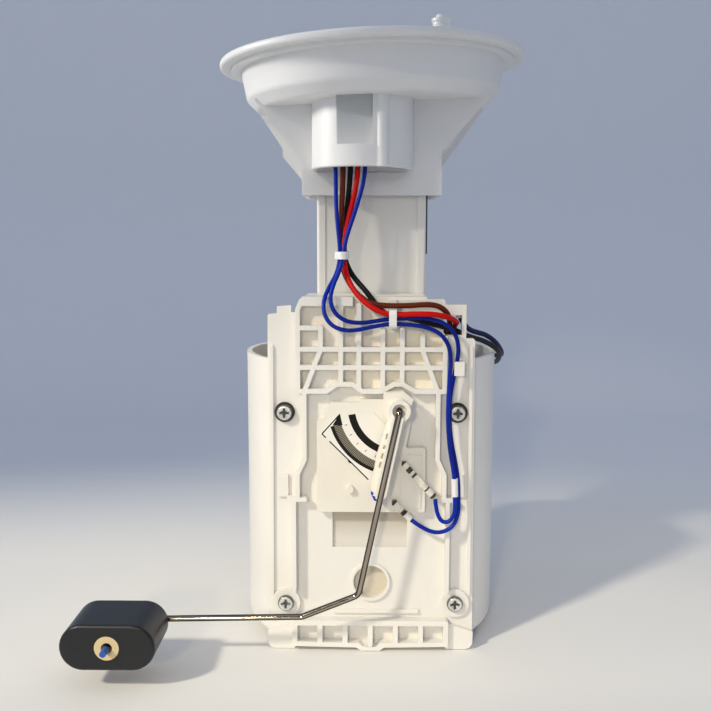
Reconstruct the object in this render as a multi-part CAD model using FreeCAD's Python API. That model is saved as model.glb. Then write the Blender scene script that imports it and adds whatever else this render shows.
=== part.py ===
# Fuel pump module for a car's tank: an open-topped reservoir that holds the pump,
# a lattice front cover that carries the level sender, and a sprung column on which
# the tank flange slides.
# Millimetres. The origin is the reservoir's axis on the plane that it stands on.
# +X is to the right seen from the sender side, +Y points away from it, +Z is up.
import FreeCAD, Part
import math
import os

from FreeCAD import Vector

# Running gaps that the pieces share
seat_gap = 0.2            # between pieces that are fitted side by side
shaft_clearance = 0.05    # radial, shafts and pins in their bores
edge_round = 0.8          # usual edge of a moulding

# Reservoir
reservoir_radius = 55.0
reservoir_wall = 2.2
rim_height = 122.5
floor_underside = 3.5
floor_thickness = 2.5
front_face = -36.5        # outside of the flat front wall, on Y
bottom_round = 3.0
foot_radius = 4.5
foot_inset = 3.2          # from the reservoir's radius to a foot's centre
foot_angle = 35.0         # degrees, from the X axis
foot_sink = 1.0           # length of a foot's plug inside the floor

# Rest pad under the middle of the floor, and the foot valve in front of it
pad_radius = 6.0
valve_x = -9.0
valve_y = -19.0
port_radius = 9.5
hub_radius = 3.5
hub_arm = 2.4
valve_stem_radius = 1.5
valve_stem_length = 4.0
valve_disc_radius = 11.5
valve_disc_thickness = 1.4
guard_radius = 12.5
guard_wall = 2.0
guard_notch = 7.0

# Front cover
cover_thickness = 2.5
cover_half_width_top = 42.0
cover_half_width_bottom = 43.0
cover_bottom = 3.9
cover_top = rim_height + 25.8
top_bar_height = 3.6
top_bar_end = -7.5       # the top bar stops short of the wires
rib_depth = 4.5           # lattice and rails, proud of the cover's face
rib_width = 1.9
rail_width = 1.8
shelf_thickness = 2.0
lattice_bottom = 110.2    # centre line of the wavy bottom bar
lattice_half_width = 29.6
foot_bar_top = 12.3       # centre line of the bottom lattice's top bar
foot_bar_pitch = 10.5
window_low_x = 29.2       # window that lets the harness pass behind the cover
window_high_x = 36.6
window_low_z = 132.8
window_high_z = 140.8
hook_x = 35.8             # inner face of the hook that holds a wire
hook_tip_x = 33.1
hook_wall = 1.3
hook_front = -46.7
hook_low_z = 117.2
hook_high_z = 122.8
finger_front = -41.2      # finger behind the lower harness tie
eye_radius = 7.1          # round hole low on the cover
eye_rim = 1.1
eye_z = 28.9
pocket_depth = 1.2

# Cover screws
screw_x = 35.3
screw_low_z = 20.1
screw_high_z = 101.0
screw_shank_radius = 1.7
screw_head_radius = 3.3
screw_head_height = 2.0
screw_length = 9.0
ring_radius = 4.1
ring_thickness = 1.3
boss_radius = 6.0
boss_height = 1.6
inner_boss_radius = 4.2
inner_boss_length = 10.0

# Column and its base
column_half_width = 23.0
column_front = -18.0
column_back = 16.0
column_wall = 2.2
column_top = 204.0
column_band = 3.5         # width of the raised corner bands
column_recess = 0.8
base_thickness = 3.0
base_half_width = 30.0
base_back = 21.0
arm_width = 12.0          # rear arm of the base
arm_centre_x = -24.0
lug_height = 3.0
lug_reach = 1.8
lug_width = 5.0
lug_y = (-11.0, 9.0)
spring_seat_z = 152.0
spring_seat_thickness = 2.4
strip_width = 4.0
strip_thickness = 0.6
strip_low_z = 165.0

# Flange: a rim over a dish, tilted about Y as the tank's top is
flange_tilt = 2.16        # degrees, right side high
flange_seat_z = 244.4     # underside of the rim at the axis
flange_radius = 65.0
rim_thickness = 3.2
step_radius = 60.5
step_height = 1.2
dish_top_radius = 56.1
dish_bottom_radius = 54.2
dish_depth = 17.4         # from the rim's underside to the dish's underside
dish_round = 4.6
dish_wall = 2.5

# Socket, hull and wire duct under the dish
socket_half_width = 29.0
socket_front = -22.0
socket_back = 20.0
socket_bottom = 189.3
socket_wall = 2.2
hull_plate = 2.4
wing_half_width = 48.0
rear_wing_half_width = 50.5
wing_left_z = 202.6       # where the front wing meets the socket's left side
wing_right_z = 207.2
rear_wing_z = 199.0
web_inset = 4.0
duct_centre_x = -3.9
duct_radius = 20.8
duct_bottom = 199.6
duct_wall = 2.2
panel_half_width = 7.2
panel_centre_x = -7.0
panel_bottom = 208.2
panel_recess = 2.5
duct_rib_x = 3.9
duct_rib_radius = 2.5
duct_rib_top = 231.0

# Fuel and electric fittings of the flange
nipple_x = 28.2
nipple_y = -18.0
nipple_radius = 3.9
nipple_root_radius = 4.5  # the part that is pressed into the dish's boss
nipple_root_length = 4.0
nipple_tip_radius = 1.95
nipple_bore = 1.3
nipple_height = 35.2      # above the dish's underside at the axis
barb_x = 8.0
barb_y = 33.0
barb_radius = 3.4
barb_length = 13.0
connector_x = -14.0
connector_y = 14.0
connector_width = 34.0
connector_depth = 18.0
connector_height = 15.0
connector_wall = 1.8
pin_count = 5
pin_pitch = 5.6
pin_radius = 0.8
pin_length = 9.0
plug_x = -8.6
plug_width = 14.8
plug_low_y = -36.2
plug_high_y = -31.4
plug_bottom = 205.0
plug_height = 9.0

# Level sender
sender_thickness = 4.0
sender_step = 0.5
terminal_y = -45.2
card_thickness = 0.6
pivot_x = 11.1
pivot_z = 104.2
pivot_boss_radius = 5.6
pivot_boss_length = 2.2
holder_thickness = 4.0
holder_gap = 0.4
rod_radius = 1.25
rail_height = 5.3         # ridge that carries the rod, proud of the holder's face
rail_breadth = 4.4
rail_end = 34.0           # its length from the pivot
slot_width = 0.8          # small slots beside the ridge
slot_depth = 1.4
lever_slots = [(6.3, 93.2, 2.4), (5.3, 88.8, 1.6), (4.5, 85.2, 2.2), (3.7, 81.6, 2.4),
               (10.9, 93.0, 2.6), (8.7, 83.0, 4.6)]  # X, Z and length of each
rod_snap = 0.4            # how far the ridge's lips stand in front of the rod's centre line
rod_bend_radius = 4.0
elbow_one = (-4.8, 29.1)  # X and Z of the rod's two bends
elbow_two = (-27.6, 19.8)
float_x = -99.4
float_z = 18.3
float_length = 36.4
float_height = 18.0
float_depth = 25.0
float_gap = 0.4
float_round = 1.2
bush_radius = 4.7
rod_tip = 5.0

# Pump
pump_x = 6.0
pump_y = 26.0
case_radius = 19.0
case_wall = 1.4
case_low_z = 22.0
case_high_z = 88.0
inlet_cap_height = 8.0
outlet_cap_height = 9.0
cap_overlap = 3.0
outlet_radius = 3.2
outlet_bore = 1.6
outlet_length = 15.0
sleeve_wall = 2.2
sleeve_height = 26.0
cradle_gap = 0.3
cradle_wall = 2.0
cradle_height = 18.0
cradle_ledge = 2.0
shaft_radius = 1.6
bearing_radius = 4.0
bearing_length = 4.0
armature_radius = 11.0
armature_low_z = 40.0
armature_high_z = 72.0
commutator_radius = 6.5
commutator_height = 5.0
magnet_air_gap = 0.8
impeller_radius = 15.0
impeller_thickness = 2.6
impeller_vanes = 20
chamber_gap = 0.4

# Strainer, regulator and jet pump
strainer_length = 56.0
strainer_width = 22.0
strainer_height = 4.2
strainer_gap = 0.3
inlet_radius = 5.0
regulator_x = -33.0
regulator_y = 12.0
regulator_radius = 9.0
regulator_low_z = 70.0
regulator_waist = 10.5
carrier_thickness = 3.0
return_radius = 3.0
jet_radius = 4.5
jet_length = 24.0

# Outlet hose and its clamps
hose_radius = 4.6
clamp_wall = 0.8
clamp_width = 4.0
clamp_inset = 1.5

# Spring
spring_radius = 7.5
spring_wire = 1.5
spring_turns = 9
spring_boss_z = 222.0
spring_pin_radius = 5.2
spring_pin_length = 9.0

# Wires
wire_radius = 1.1         # pump and earth wires
sender_wire_radius = 0.85
tie_wall = 0.7
tie_width = 3.0
tie_gap = 0.3
sleeve_skin = 0.5
sleeve_low = (34.1, -46.4, 67.0)
sleeve_high = (33.8, -46.4, 76.0)

# Places that follow from the sizes above
floor_top = floor_underside + floor_thickness
inner_radius = reservoir_radius - reservoir_wall
front_inner = front_face + reservoir_wall
cover_face = front_face - cover_thickness
rib_front = cover_face - rib_depth
base_top = rim_height + base_thickness
sender_front = cover_face - sender_thickness
card_front = sender_front - card_thickness
boss_front = sender_front - pivot_boss_length
holder_back = boss_front - holder_gap
holder_front = holder_back - holder_thickness
rod_y = holder_front - rail_height + rod_snap
float_back = rod_y - rod_radius - float_gap
float_front = float_back - float_depth
dish_floor_z = flange_seat_z - dish_depth
nipple_top = dish_floor_z + nipple_height
pump_low_z = case_low_z - inlet_cap_height + cap_overlap
sleeve_radius = case_radius + sleeve_wall


def box(x0, x1, y0, y1, z0, z1):
    return Part.makeBox(x1 - x0, y1 - y0, z1 - z0, Vector(x0, y0, z0))


def post(radius, x, y, z0, z1):
    """A round bar standing up."""
    return Part.makeCylinder(radius, z1 - z0, Vector(x, y, z0))


def peg(radius, x, z, y0, y1):
    """A round bar lying along Y, from y0 back to y1."""
    return Part.makeCylinder(radius, y1 - y0, Vector(x, y0, z), Vector(0, 1, 0))


def ring(outer, inner, x, y, z0, z1):
    return post(outer, x, y, z0, z1).cut(post(inner, x, y, z0 - 1, z1 + 1))


def face_xz(points, y):
    corners = [Vector(x, y, z) for x, z in points]
    return Part.Face(Part.makePolygon(corners + corners[:1]))


def plate_xz(points, y0, y1):
    """An outline seen from the front, made thick along Y."""
    return face_xz(points, y0).extrude(Vector(0, y1 - y0, 0))


def turned(points):
    """A profile of radius and height, revolved about Z."""
    corners = [Vector(r, 0, z) for r, z in points]
    profile = Part.Face(Part.makePolygon(corners + corners[:1]))
    return profile.revolve(Vector(0, 0, 0), Vector(0, 0, 1), 360)


def joined(pieces):
    whole = pieces[0]
    if len(pieces) > 1:
        whole = whole.multiFuse(pieces[1:])
    return whole.removeSplitter()


def rounded(shape, radius, chosen):
    """Rounds the edges that the test picks."""
    edges = [edge for edge in shape.Edges if chosen(edge)]
    return shape.makeFillet(radius, edges)


def strip_rib(points, width, y0, y1):
    """A rib of even width along a line of points, seen from the front."""
    parts = [peg(width / 2, x, z, y0, y1) for x, z in points]
    for (xa, za), (xb, zb) in zip(points, points[1:]):
        run = math.hypot(xb - xa, zb - za)
        side = Vector((zb - za) / run * width / 2, 0, -(xb - xa) / run * width / 2)
        a = Vector(xa, y0, za)
        b = Vector(xb, y0, zb)
        corners = [a + side, b + side, b - side, a - side, a + side]
        parts.append(Part.Face(Part.makePolygon(corners)).extrude(Vector(0, y1 - y0, 0)))
    return joined(parts)


def mirrored_x(points):
    return [(-x, z) for x, z in points]


def path_of(points, share=0.45):
    """Straight runs joined by tangent arcs, each as large as its two runs allow."""
    spots = [Vector(*point) for point in points]
    edges = []
    radii = []
    start = spots[0]
    for before, corner, after in zip(spots, spots[1:], spots[2:]):
        back = before - corner
        ahead = after - corner
        reach = share * min(back.Length, ahead.Length)
        turn = math.pi - back.getAngle(ahead)
        radius = reach / math.tan(turn / 2)
        back.normalize()
        ahead.normalize()
        first = corner + back * reach
        last = corner + ahead * reach
        inward = back + ahead
        inward.normalize()
        middle = corner + inward * (radius / math.cos(turn / 2) - radius)
        edges.append(Part.LineSegment(start, first).toShape())
        edges.append(Part.Arc(first, middle, last).toShape())
        radii.append(radius)
        start = last
    edges.append(Part.LineSegment(start, spots[-1]).toShape())
    return Part.Wire(edges), radii


def tube_along(points, radius, name):
    """A round cord along its route, with its tightest bend and its volume printed."""
    path, radii = path_of(points)
    ahead = Vector(*points[1]) - Vector(*points[0])
    section = Part.Wire(Part.makeCircle(radius, Vector(*points[0]), ahead))
    solid = path.makePipeShell([section], True, True)
    volume = math.pi * radius ** 2 * path.Length
    print(name, "length", round(path.Length, 1), "smallest radius", round(min(radii), 1),
          "volume against section times length", round(solid.Volume / volume, 4))
    return solid


def tilted(shape):
    """Leans a piece of the flange about the middle of the rim."""
    leaning = shape.copy()
    leaning.rotate(Vector(0, 0, flange_seat_z), Vector(0, 1, 0), -flange_tilt)
    return leaning


def save(name, shape):
    shape.exportStep("parts/" + name + ".step")
    print(name, len(shape.Solids), "solids", round(shape.Volume), "mm3", shape.isValid())


# Reservoir: an open cup with a flat front, a cradle for the pump and a valve port

def reservoir():
    cup = post(reservoir_radius, 0, 0, floor_underside, rim_height)
    cup = rounded(cup, bottom_round, lambda e: e.BoundBox.ZMax < floor_underside + 0.1)
    reach = reservoir_radius + 5
    cup = cup.cut(box(-reach, reach, -reach, front_face, 0, rim_height + 5))
    hollow = post(inner_radius, 0, 0, floor_top, rim_height + 5)
    hollow = hollow.cut(box(-reach, reach, -reach, front_inner, 0, rim_height + 10))
    body = cup.cut(hollow)
    added = [body]
    for x in (-screw_x, screw_x):
        for z in (screw_low_z, screw_high_z):
            added.append(peg(inner_boss_radius, x, z, front_inner - 0.5, front_inner + inner_boss_length))
    cradle_inner = sleeve_radius + cradle_gap
    ledge_z = case_low_z - 2
    added.append(ring(cradle_inner + cradle_wall, cradle_inner, pump_x, pump_y,
                      floor_top - 0.5, floor_top + cradle_height))
    added.append(ring(cradle_inner + 0.5, case_radius + 0.6, pump_x, pump_y, ledge_z - cradle_ledge, ledge_z))
    added.append(ring(guard_radius, guard_radius - guard_wall, valve_x, valve_y, 0.5, floor_underside + 0.5))
    added.append(post(pad_radius, 0, 0, 0, floor_underside + 0.5))
    body = joined(added)
    body = body.common(post(reservoir_radius, 0, 0, -1, rim_height + 1))
    for x in (-screw_x, screw_x):
        for z in (screw_low_z, screw_high_z):
            body = body.cut(peg(screw_shank_radius + shaft_clearance, x, z, front_face - 1,
                                front_face + screw_length))
    x = valve_x
    y = valve_y
    body = body.cut(post(port_radius, x, y, -1, floor_top + 1))
    notch = guard_notch / 2
    low = floor_underside - 1.2
    body = body.cut(box(x - guard_radius - 1, x - port_radius + 1, y - notch, y + notch, -1, low))
    body = body.cut(box(x + port_radius, x + guard_radius + 1, y - notch, y + notch, -1, low))
    body = body.cut(box(x - notch, x + notch, y - guard_radius - 1, y - port_radius, -1, low))
    arm = hub_arm / 2
    spider = [post(hub_radius, x, y, 1.0, floor_top),
              box(x - port_radius - 1, x + port_radius + 1, y - arm, y + arm, floor_underside, floor_top),
              box(x - arm, x + arm, y - port_radius - 1, y + port_radius + 1, floor_underside, floor_top)]
    body = joined([body] + spider)
    # The stem's blind bore
    body = body.cut(post(valve_stem_radius + shaft_clearance, x, y,
                         floor_top - valve_stem_length, floor_top + 1))
    # Gaps in the cradle let the strainer pass under the pump
    slot = strainer_width / 2 + 1.5
    body = body.cut(box(pump_x - reach, pump_x + reach, pump_y - slot, pump_y + slot,
                        floor_top, floor_top + strainer_gap * 2 + strainer_height + 1)
                    .common(post(inner_radius - 0.1, 0, 0, 0, rim_height)))
    for x, y in foot_places():
        body = body.cut(post(foot_radius - 2 + shaft_clearance, x, y,
                             floor_underside - 1, floor_underside + foot_sink))
    return body


def foot_places():
    radius = reservoir_radius - foot_inset - foot_radius
    angles = [-foot_angle, 180 + foot_angle, foot_angle, 180 - foot_angle]
    return [(radius * math.cos(math.radians(a)), radius * math.sin(math.radians(a))) for a in angles]


def rubber_feet():
    feet = []
    for x, y in foot_places():
        pad = post(foot_radius, x, y, 0, floor_underside)
        pad = rounded(pad, edge_round, lambda e: e.BoundBox.ZMax < 0.1)
        feet.append(pad.fuse(post(foot_radius - 2, x, y, floor_underside - 0.5,
                                  floor_underside + foot_sink - shaft_clearance)))
    return Part.makeCompound(feet)


def foot_valve():
    x = valve_x
    y = valve_y
    disc = post(valve_disc_radius, x, y, floor_top, floor_top + valve_disc_thickness)
    stem = post(valve_stem_radius, x, y, floor_top - valve_stem_length + 0.3, floor_top + 0.5)
    knob = post(valve_stem_radius + 1.2, x, y, floor_top + 0.5, floor_top + valve_disc_thickness + 1)
    return joined([disc, stem, knob])


# Front cover

def cover_outline():
    w = cover_half_width_top
    top = cover_top
    return [(-cover_half_width_bottom, cover_bottom), (-w, top - 7.2), (-38.2, top - 6.9),
            (-38.2, top - 4.1), (-32.4, top - 3.6), (-32.4, top - 6.4), (-30.6, top - 6.3),
            (-29.2, top - 1.7), (-27.0, top), (22.0, top), (22.6, top - 1.0),
            (29.4, top - 1.0), (30.0, top - 3.2), (38.4, top - 3.2), (38.4, top - 16.9),
            (w, top - 16.9), (cover_half_width_bottom, cover_bottom)]


def lattice():
    w = lattice_half_width
    front = rib_front
    back = cover_face + 0.5
    low = lattice_bottom
    top = cover_top - rib_width / 2

    def upright(x, z0, z1):
        return strip_rib([(x, z0), (x, z1)], rib_width, front, back)

    def bar(z, x0, x1):
        return strip_rib([(x0, z), (x1, z)], rib_width, front, back)

    wave = [(-w, low), (-18.2, low), (-13.8, low + 2.9), (-7.4, low + 2.9), (-3.6, low),
            (3.9, low), (9.2, low + 3.0), (12.8, low + 3.0), (17.6, low), (w, low)]
    middle = low + 17.1
    lower = low + 9.7
    under_bar = cover_top - top_bar_height
    ribs = [strip_rib([(-w, low), (-w, under_bar - 1.6), (-w + 1.6, top - 0.6)], rib_width, front, back),
            upright(w, low, middle + 5.7), bar(middle, -w, w), bar(lower, -w, w),
            bar(middle + 8.6, -w, -20.4), upright(-20.4, middle, middle + 8.7),
            upright(20.6, middle, middle + 5.7)]
    ribs += [upright(x, low + high, under_bar + 0.5) for x, high in ((-12.3, 3.2), (-5.0, 1.5))]
    ribs += [upright(x, low + high, middle + 8.0) for x, high in ((4.6, 0.6), (12.4, 3.2))]
    ribs += [strip_rib([(-20.4, middle), (-26.9, low)], rib_width, front, back),
             strip_rib([(20.4, middle), (26.9, low)], rib_width, front, back),
             strip_rib(wave, rib_width, front, back)]
    ribs.append(box(-w + 1.8, top_bar_end, front, back, under_bar, cover_top))
    return ribs


def side_rails():
    front = rib_front
    back = cover_face + 0.5
    rail = [(-27.1, lattice_bottom), (-27.1, 82.0), (-30.0, 75.8), (-30.0, 65.2)]
    lower = [(-31.6, 65.2), (-31.6, 26.5)]
    tie_bar = [(-33.6, 65.2), (-27.0, 65.2)]
    ribs = []
    for line in (rail, lower, tie_bar):
        ribs.append(strip_rib(line, rail_width, front, back))
        ribs.append(strip_rib(mirrored_x(line), rail_width, front, back))
    return ribs


def bottom_lattice():
    """The row of uprights over a sagging bar, with a foot at each end and one in the middle."""
    front = rib_front
    back = cover_face + 0.5
    top = foot_bar_top
    ends = 3 * foot_bar_pitch
    tab = 4.6
    bar_low = 1.9
    bar_high = 4.2
    ribs = [strip_rib([(-ends, top), (ends, top)], rib_width + 0.3, front, back)]
    for step in range(-3, 4):
        ribs.append(strip_rib([(step * foot_bar_pitch, bar_low + 1.1), (step * foot_bar_pitch, top)],
                              rib_width + 0.2, front, back))
    # The sagging bar dips at the middle foot and leaves the middle upright free on both sides
    for side in (-1, 1):
        line = [(side * ends, bar_high), (side * (tab + 1.6), bar_high - 0.6), (side * tab, bar_high - 0.6),
                (side * 2.6, bar_low), (0, bar_low), (0, 0.3), (side * 3.9, 0.3),
                (side * (tab + 1.2), bar_low - 0.2), (side * ends, bar_low + 0.3)]
        ribs.append(plate_xz(line, front, cover_face))
    # Web behind the uprights, down to the bar
    ribs.append(box(-ends - 1, ends + 1, cover_face, front_face, bar_low - 0.4, cover_bottom + 0.5))
    ribs.append(box(-ends - 1, ends + 1, cover_face - 0.5, front_face, bar_low - 0.4, bar_high - 0.8))
    for side in (-1, 1):
        foot = [(31.6, 0.2), (40.0, 0.2), (41.8, 1.0), (42.9, 2.6), (43.0, 8.0), (31.6, 11.6)]
        ribs.append(plate_xz([(side * x, z) for x, z in foot], front + 2.2, front_face))
    return ribs


def front_cover():
    panel = plate_xz(cover_outline(), cover_face, front_face)
    panel = rounded(panel, 1.2, lambda e: e.Length > cover_thickness - 0.01
                    and e.Length < cover_thickness + 0.01 and abs(e.CenterOfMass.x) > 40)
    added = [panel] + lattice() + side_rails() + bottom_lattice()
    # Shelf that closes the top back to the column
    added.append(box(-26.7, 22.0, front_face - 0.5, column_front - seat_gap,
                     cover_top - shelf_thickness, cover_top))
    added.append(box(10.6, 22.0, cover_face - 1.4, cover_face + 0.5, 145.4, 147.0))
    # Finger that the lower harness tie bears on
    added.append(box(6.8, 10.2, finger_front, cover_face + 0.5, 137.5, 147.0))
    for x in (-screw_x, screw_x):
        added.append(peg(boss_radius, x, screw_low_z, cover_face - boss_height, cover_face + 0.5))
    # Edge lips down both long sides
    for side in (-1, 1):
        lip = [(side * 41.0, 24.0), (side * 40.4, 128.0)]
        added.append(strip_rib(lip, 1.4, cover_face - 1.2, cover_face + 0.5))
        added.append(box(min(side * 38.4, side * 34.0), max(side * 38.4, side * 34.0),
                         cover_face - 1.4, cover_face + 0.5, 65.7, 74.9))
    added.append(peg(eye_radius + eye_rim, 0, eye_z, cover_face - 1.2, cover_face + 0.5))
    added.append(box(-15.6, 20.2, cover_face - 1.2, cover_face + 0.5, 15.4, 17.0))
    added.append(harness_hook())
    body = joined(added)
    body = body.cut(peg(eye_radius, 0, eye_z, rib_front - 1, front_face + 1))
    body = body.cut(box(-15.8, 15.2, cover_face - 1, cover_face + pocket_depth, 43.7, 58.9))
    body = body.cut(box(window_low_x, window_high_x, rib_front - 1, front_face + 1,
                        window_low_z, window_high_z))
    for x in (-screw_x, screw_x):
        for z in (screw_low_z, screw_high_z):
            body = body.cut(peg(screw_shank_radius + shaft_clearance, x, z, rib_front - 1, front_face + 1))
    return body


def harness_hook():
    """Bent finger, open to the left, that holds the inner blue wire to the cover."""
    tip = hook_front + hook_wall
    leg = box(hook_x, hook_x + hook_wall, hook_front, cover_face + 0.5, hook_low_z, hook_high_z)
    finger = box(hook_tip_x, hook_x + hook_wall, hook_front, tip, hook_low_z, hook_high_z)
    return joined([leg, finger])


def cover_screws():
    screws = []
    for x in (-screw_x, screw_x):
        for z, seat in ((screw_low_z, cover_face - boss_height), (screw_high_z, cover_face - ring_thickness)):
            head = peg(screw_head_radius, x, z, seat - screw_head_height, seat)
            head = rounded(head, 0.9, lambda e: e.BoundBox.YMax < seat - screw_head_height + 0.1)
            arm = 0.5
            across = 2.0
            depth = 1.4
            face = seat - screw_head_height
            slot_one = box(x - arm, x + arm, seat - 3, face + depth, z - across, z + across)
            slot_two = box(x - across, x + across, seat - 3, face + depth, z - arm, z + arm)
            shank = peg(screw_shank_radius, x, z, seat - 0.2, front_face + screw_length - 0.5)
            cone = Part.makeCone(1.5, 0.3, depth, Vector(x, face - 0.01, z), Vector(0, 1, 0))
            screws.append(head.cut(slot_one).cut(slot_two).cut(cone).fuse(shank))
    return Part.makeCompound(screws)


def screw_rings():
    rings = []
    for x in (-screw_x, screw_x):
        outer = peg(ring_radius, x, screw_high_z, cover_face - ring_thickness, cover_face)
        inner = peg(screw_shank_radius + shaft_clearance, x, screw_high_z, cover_face - 3, cover_face + 1)
        rings.append(outer.cut(inner))
    return Part.makeCompound(rings)


# Column on which the flange slides, with its base on the reservoir's rim

def guide_column():
    w = column_half_width
    shell = box(-w, w, column_front, column_back, rim_height, column_top)
    corners = column_top - rim_height
    shell = rounded(shell, 1.2, lambda e: abs(e.Length - corners) < 0.01)
    wall = column_wall
    shell = shell.cut(box(-w + wall, w - wall, column_front + wall, column_back - wall,
                          rim_height - 1, column_top + 1))
    shell = shell.cut(box(-w + column_band, w - column_band, column_front - 1,
                          column_front + column_recess, base_top + 1, column_top + 1))
    base = box(-base_half_width, base_half_width, front_face, base_back, rim_height, base_top)
    hole = box(-w + wall, w - wall, column_front + wall, column_back - wall, rim_height - 1, base_top + 1)
    base = base.cut(hole)
    arm_half = arm_width / 2
    arm_end = math.sqrt(reservoir_radius ** 2 - (abs(arm_centre_x) + arm_half) ** 2)
    arm = box(arm_centre_x - arm_half, arm_centre_x + arm_half, base_back - 1, arm_end,
              rim_height, base_top)
    arm_rib = box(arm_centre_x - 1, arm_centre_x + 1, column_back, arm_end - 1, base_top - 0.5, base_top + 4)
    seat = box(-w + wall - 0.5, w - wall + 0.5, column_front + wall - 0.5, column_back - wall + 0.5,
               spring_seat_z - spring_seat_thickness, spring_seat_z)
    seat_pin = post(spring_pin_radius, 0, 0, spring_seat_z - 0.5, spring_seat_z + spring_pin_length)
    added = [shell, base, arm, arm_rib, seat, seat_pin]
    for x in (-1, 1):
        for y in lug_y:
            edge = x * w
            tip = x * (w + lug_reach)
            added.append(box(min(edge - x * wall, tip), max(edge - x * wall, tip), y - lug_width / 2,
                             y + lug_width / 2, column_top - lug_height, column_top))
        # Gussets from the base up the column's sides
        gusset = [(x * w, base_top - 0.5), (x * (base_half_width - 1), base_top - 0.5), (x * w, base_top + 8)]
        added.append(plate_xz(gusset, -1.0, 1.0))
    return joined(added)


def guide_strip():
    w = column_half_width
    blade = box(w, w + strip_thickness, column_front + 1.4, column_front + 1.4 + strip_width,
                strip_low_z, column_top - lug_height - 0.5)
    return blade


def guide_spring():
    start = spring_seat_z + spring_wire / 2
    end = spring_boss_z - spring_wire / 2
    pitch = (end - start) / spring_turns
    helix = Part.makeHelix(pitch, end - start, spring_radius)
    helix.translate(Vector(0, 0, start))
    section = Part.Wire(Part.makeCircle(spring_wire / 2, Vector(spring_radius, 0, start), Vector(0, 1, 0)))
    return Part.Wire(helix).makePipeShell([section], True, True)


# Flange: one moulding of rim, dish, hull, socket and wire duct

def dish_profile(grow=0.0):
    """Outside of the rim and dish, about the seat plane, as radius and height."""
    z = flange_seat_z
    return [(0, z - dish_depth), (dish_bottom_radius - dish_round, z - dish_depth),
            (dish_bottom_radius, z - dish_depth + dish_round), (dish_top_radius, z - step_height),
            (step_radius, z - step_height), (step_radius, z), (flange_radius + grow, z),
            (flange_radius + grow, z + rim_thickness), (0, z + rim_thickness)]


def dish_outside():
    disc = turned(dish_profile())
    low_round = flange_seat_z - dish_depth
    inner_edge = dish_bottom_radius - dish_round - 1
    disc = rounded(disc, 3.2, lambda e: e.BoundBox.ZMax < low_round + dish_round + 0.1
                   and e.BoundBox.ZMin > low_round - 0.1 and e.BoundBox.XMax > inner_edge
                   and e.BoundBox.ZLength < 0.01)
    disc = rounded(disc, 1.3, lambda e: e.BoundBox.XMax > flange_radius - 0.1 and e.BoundBox.ZLength < 0.01)
    return disc


def dish_inside():
    z = flange_seat_z
    wall = dish_wall
    return turned([(0, z - dish_depth + wall),
                   (dish_bottom_radius - dish_round - wall * 0.4, z - dish_depth + wall),
                   (dish_bottom_radius - wall, z - dish_depth + dish_round + wall * 0.4),
                   (dish_top_radius - wall, z + rim_thickness + 2), (0, z + rim_thickness + 2)])


def hull_pieces():
    """Front and rear wings and the sloping webs between them, solid and hollow parts apart."""
    top = dish_floor_z + 4.5
    s = socket_half_width
    f = wing_half_width
    r = rear_wing_half_width
    front = [(-f, dish_floor_z + 0.5), (-f, top), (f, top), (f, dish_floor_z + 1.5), (s, wing_right_z),
             (s, socket_bottom), (-s, socket_bottom), (-s, wing_left_z)]
    rear = [(-r, dish_floor_z), (-r, top - 2), (r, top), (r, dish_floor_z + 2), (s + 2, rear_wing_z + 3),
            (s, rear_wing_z), (s, socket_bottom), (-s, socket_bottom), (-s, rear_wing_z - 4),
            (-40.4, 208.4), (-40.4, 212.0)]
    web = web_inset
    middle = [(-f + web, dish_floor_z), (-f + web, top), (f - web, top), (f - web, dish_floor_z),
              (s + 3, wing_right_z + 1.5), (s, wing_right_z), (s, socket_bottom), (-s, socket_bottom),
              (-s, wing_left_z + 2)]
    plate = hull_plate
    solid = [plate_xz(front, socket_front, socket_front + plate),
             plate_xz(rear, socket_back - plate, socket_back),
             plate_xz(middle, socket_front + plate / 2, socket_back - plate / 2)]
    t = socket_wall
    hollow = [(-f + web + t * 1.6, dish_floor_z + 0.2), (f - web - t * 1.6, dish_floor_z + 0.2),
              (s + 3 - t, wing_right_z + 1.5 + t), (s - t, wing_right_z + t), (s - t, socket_bottom - 1),
              (-s + t, socket_bottom - 1), (-s + t, wing_left_z + 2 + t)]
    room = plate_xz(hollow, socket_front + plate, socket_back - plate)
    return solid, room


def duct_pieces():
    """Half-round wire duct on the front wing, with its recessed panel and rounded rib."""
    top = dish_floor_z + 3
    half = box(duct_centre_x - 40, duct_centre_x + 40, socket_front - 40, socket_front + 0.5,
               duct_bottom - 1, top + 1)
    outer = post(duct_radius, duct_centre_x, socket_front, duct_bottom, top).common(half)
    outer = rounded(outer, 0.6, lambda e: e.BoundBox.ZMax < duct_bottom + 0.1
                    and isinstance(e.Curve, Part.Circle))
    inner = post(duct_radius - duct_wall, duct_centre_x, socket_front, duct_bottom - 1, dish_floor_z)
    inner = inner.common(half)
    panel_y = socket_front - duct_radius + panel_recess
    left = panel_centre_x - panel_half_width
    right = panel_centre_x + panel_half_width
    pocket = box(left, right, socket_front - duct_radius - 1, panel_y, panel_bottom, dish_floor_z + 0.6)
    backing = box(left - duct_wall, right + duct_wall, panel_y - 0.3, panel_y + duct_wall,
                  panel_bottom - duct_wall, dish_floor_z)
    backing = backing.common(post(duct_radius - duct_wall / 2, duct_centre_x, socket_front,
                                  duct_bottom, top))
    rib_y = socket_front - math.sqrt(duct_radius ** 2 - (duct_rib_x - duct_centre_x) ** 2)
    rib = post(duct_rib_radius, duct_rib_x, rib_y + 0.6, duct_bottom, duct_rib_top)
    return outer, inner, pocket, backing, rib


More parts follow.
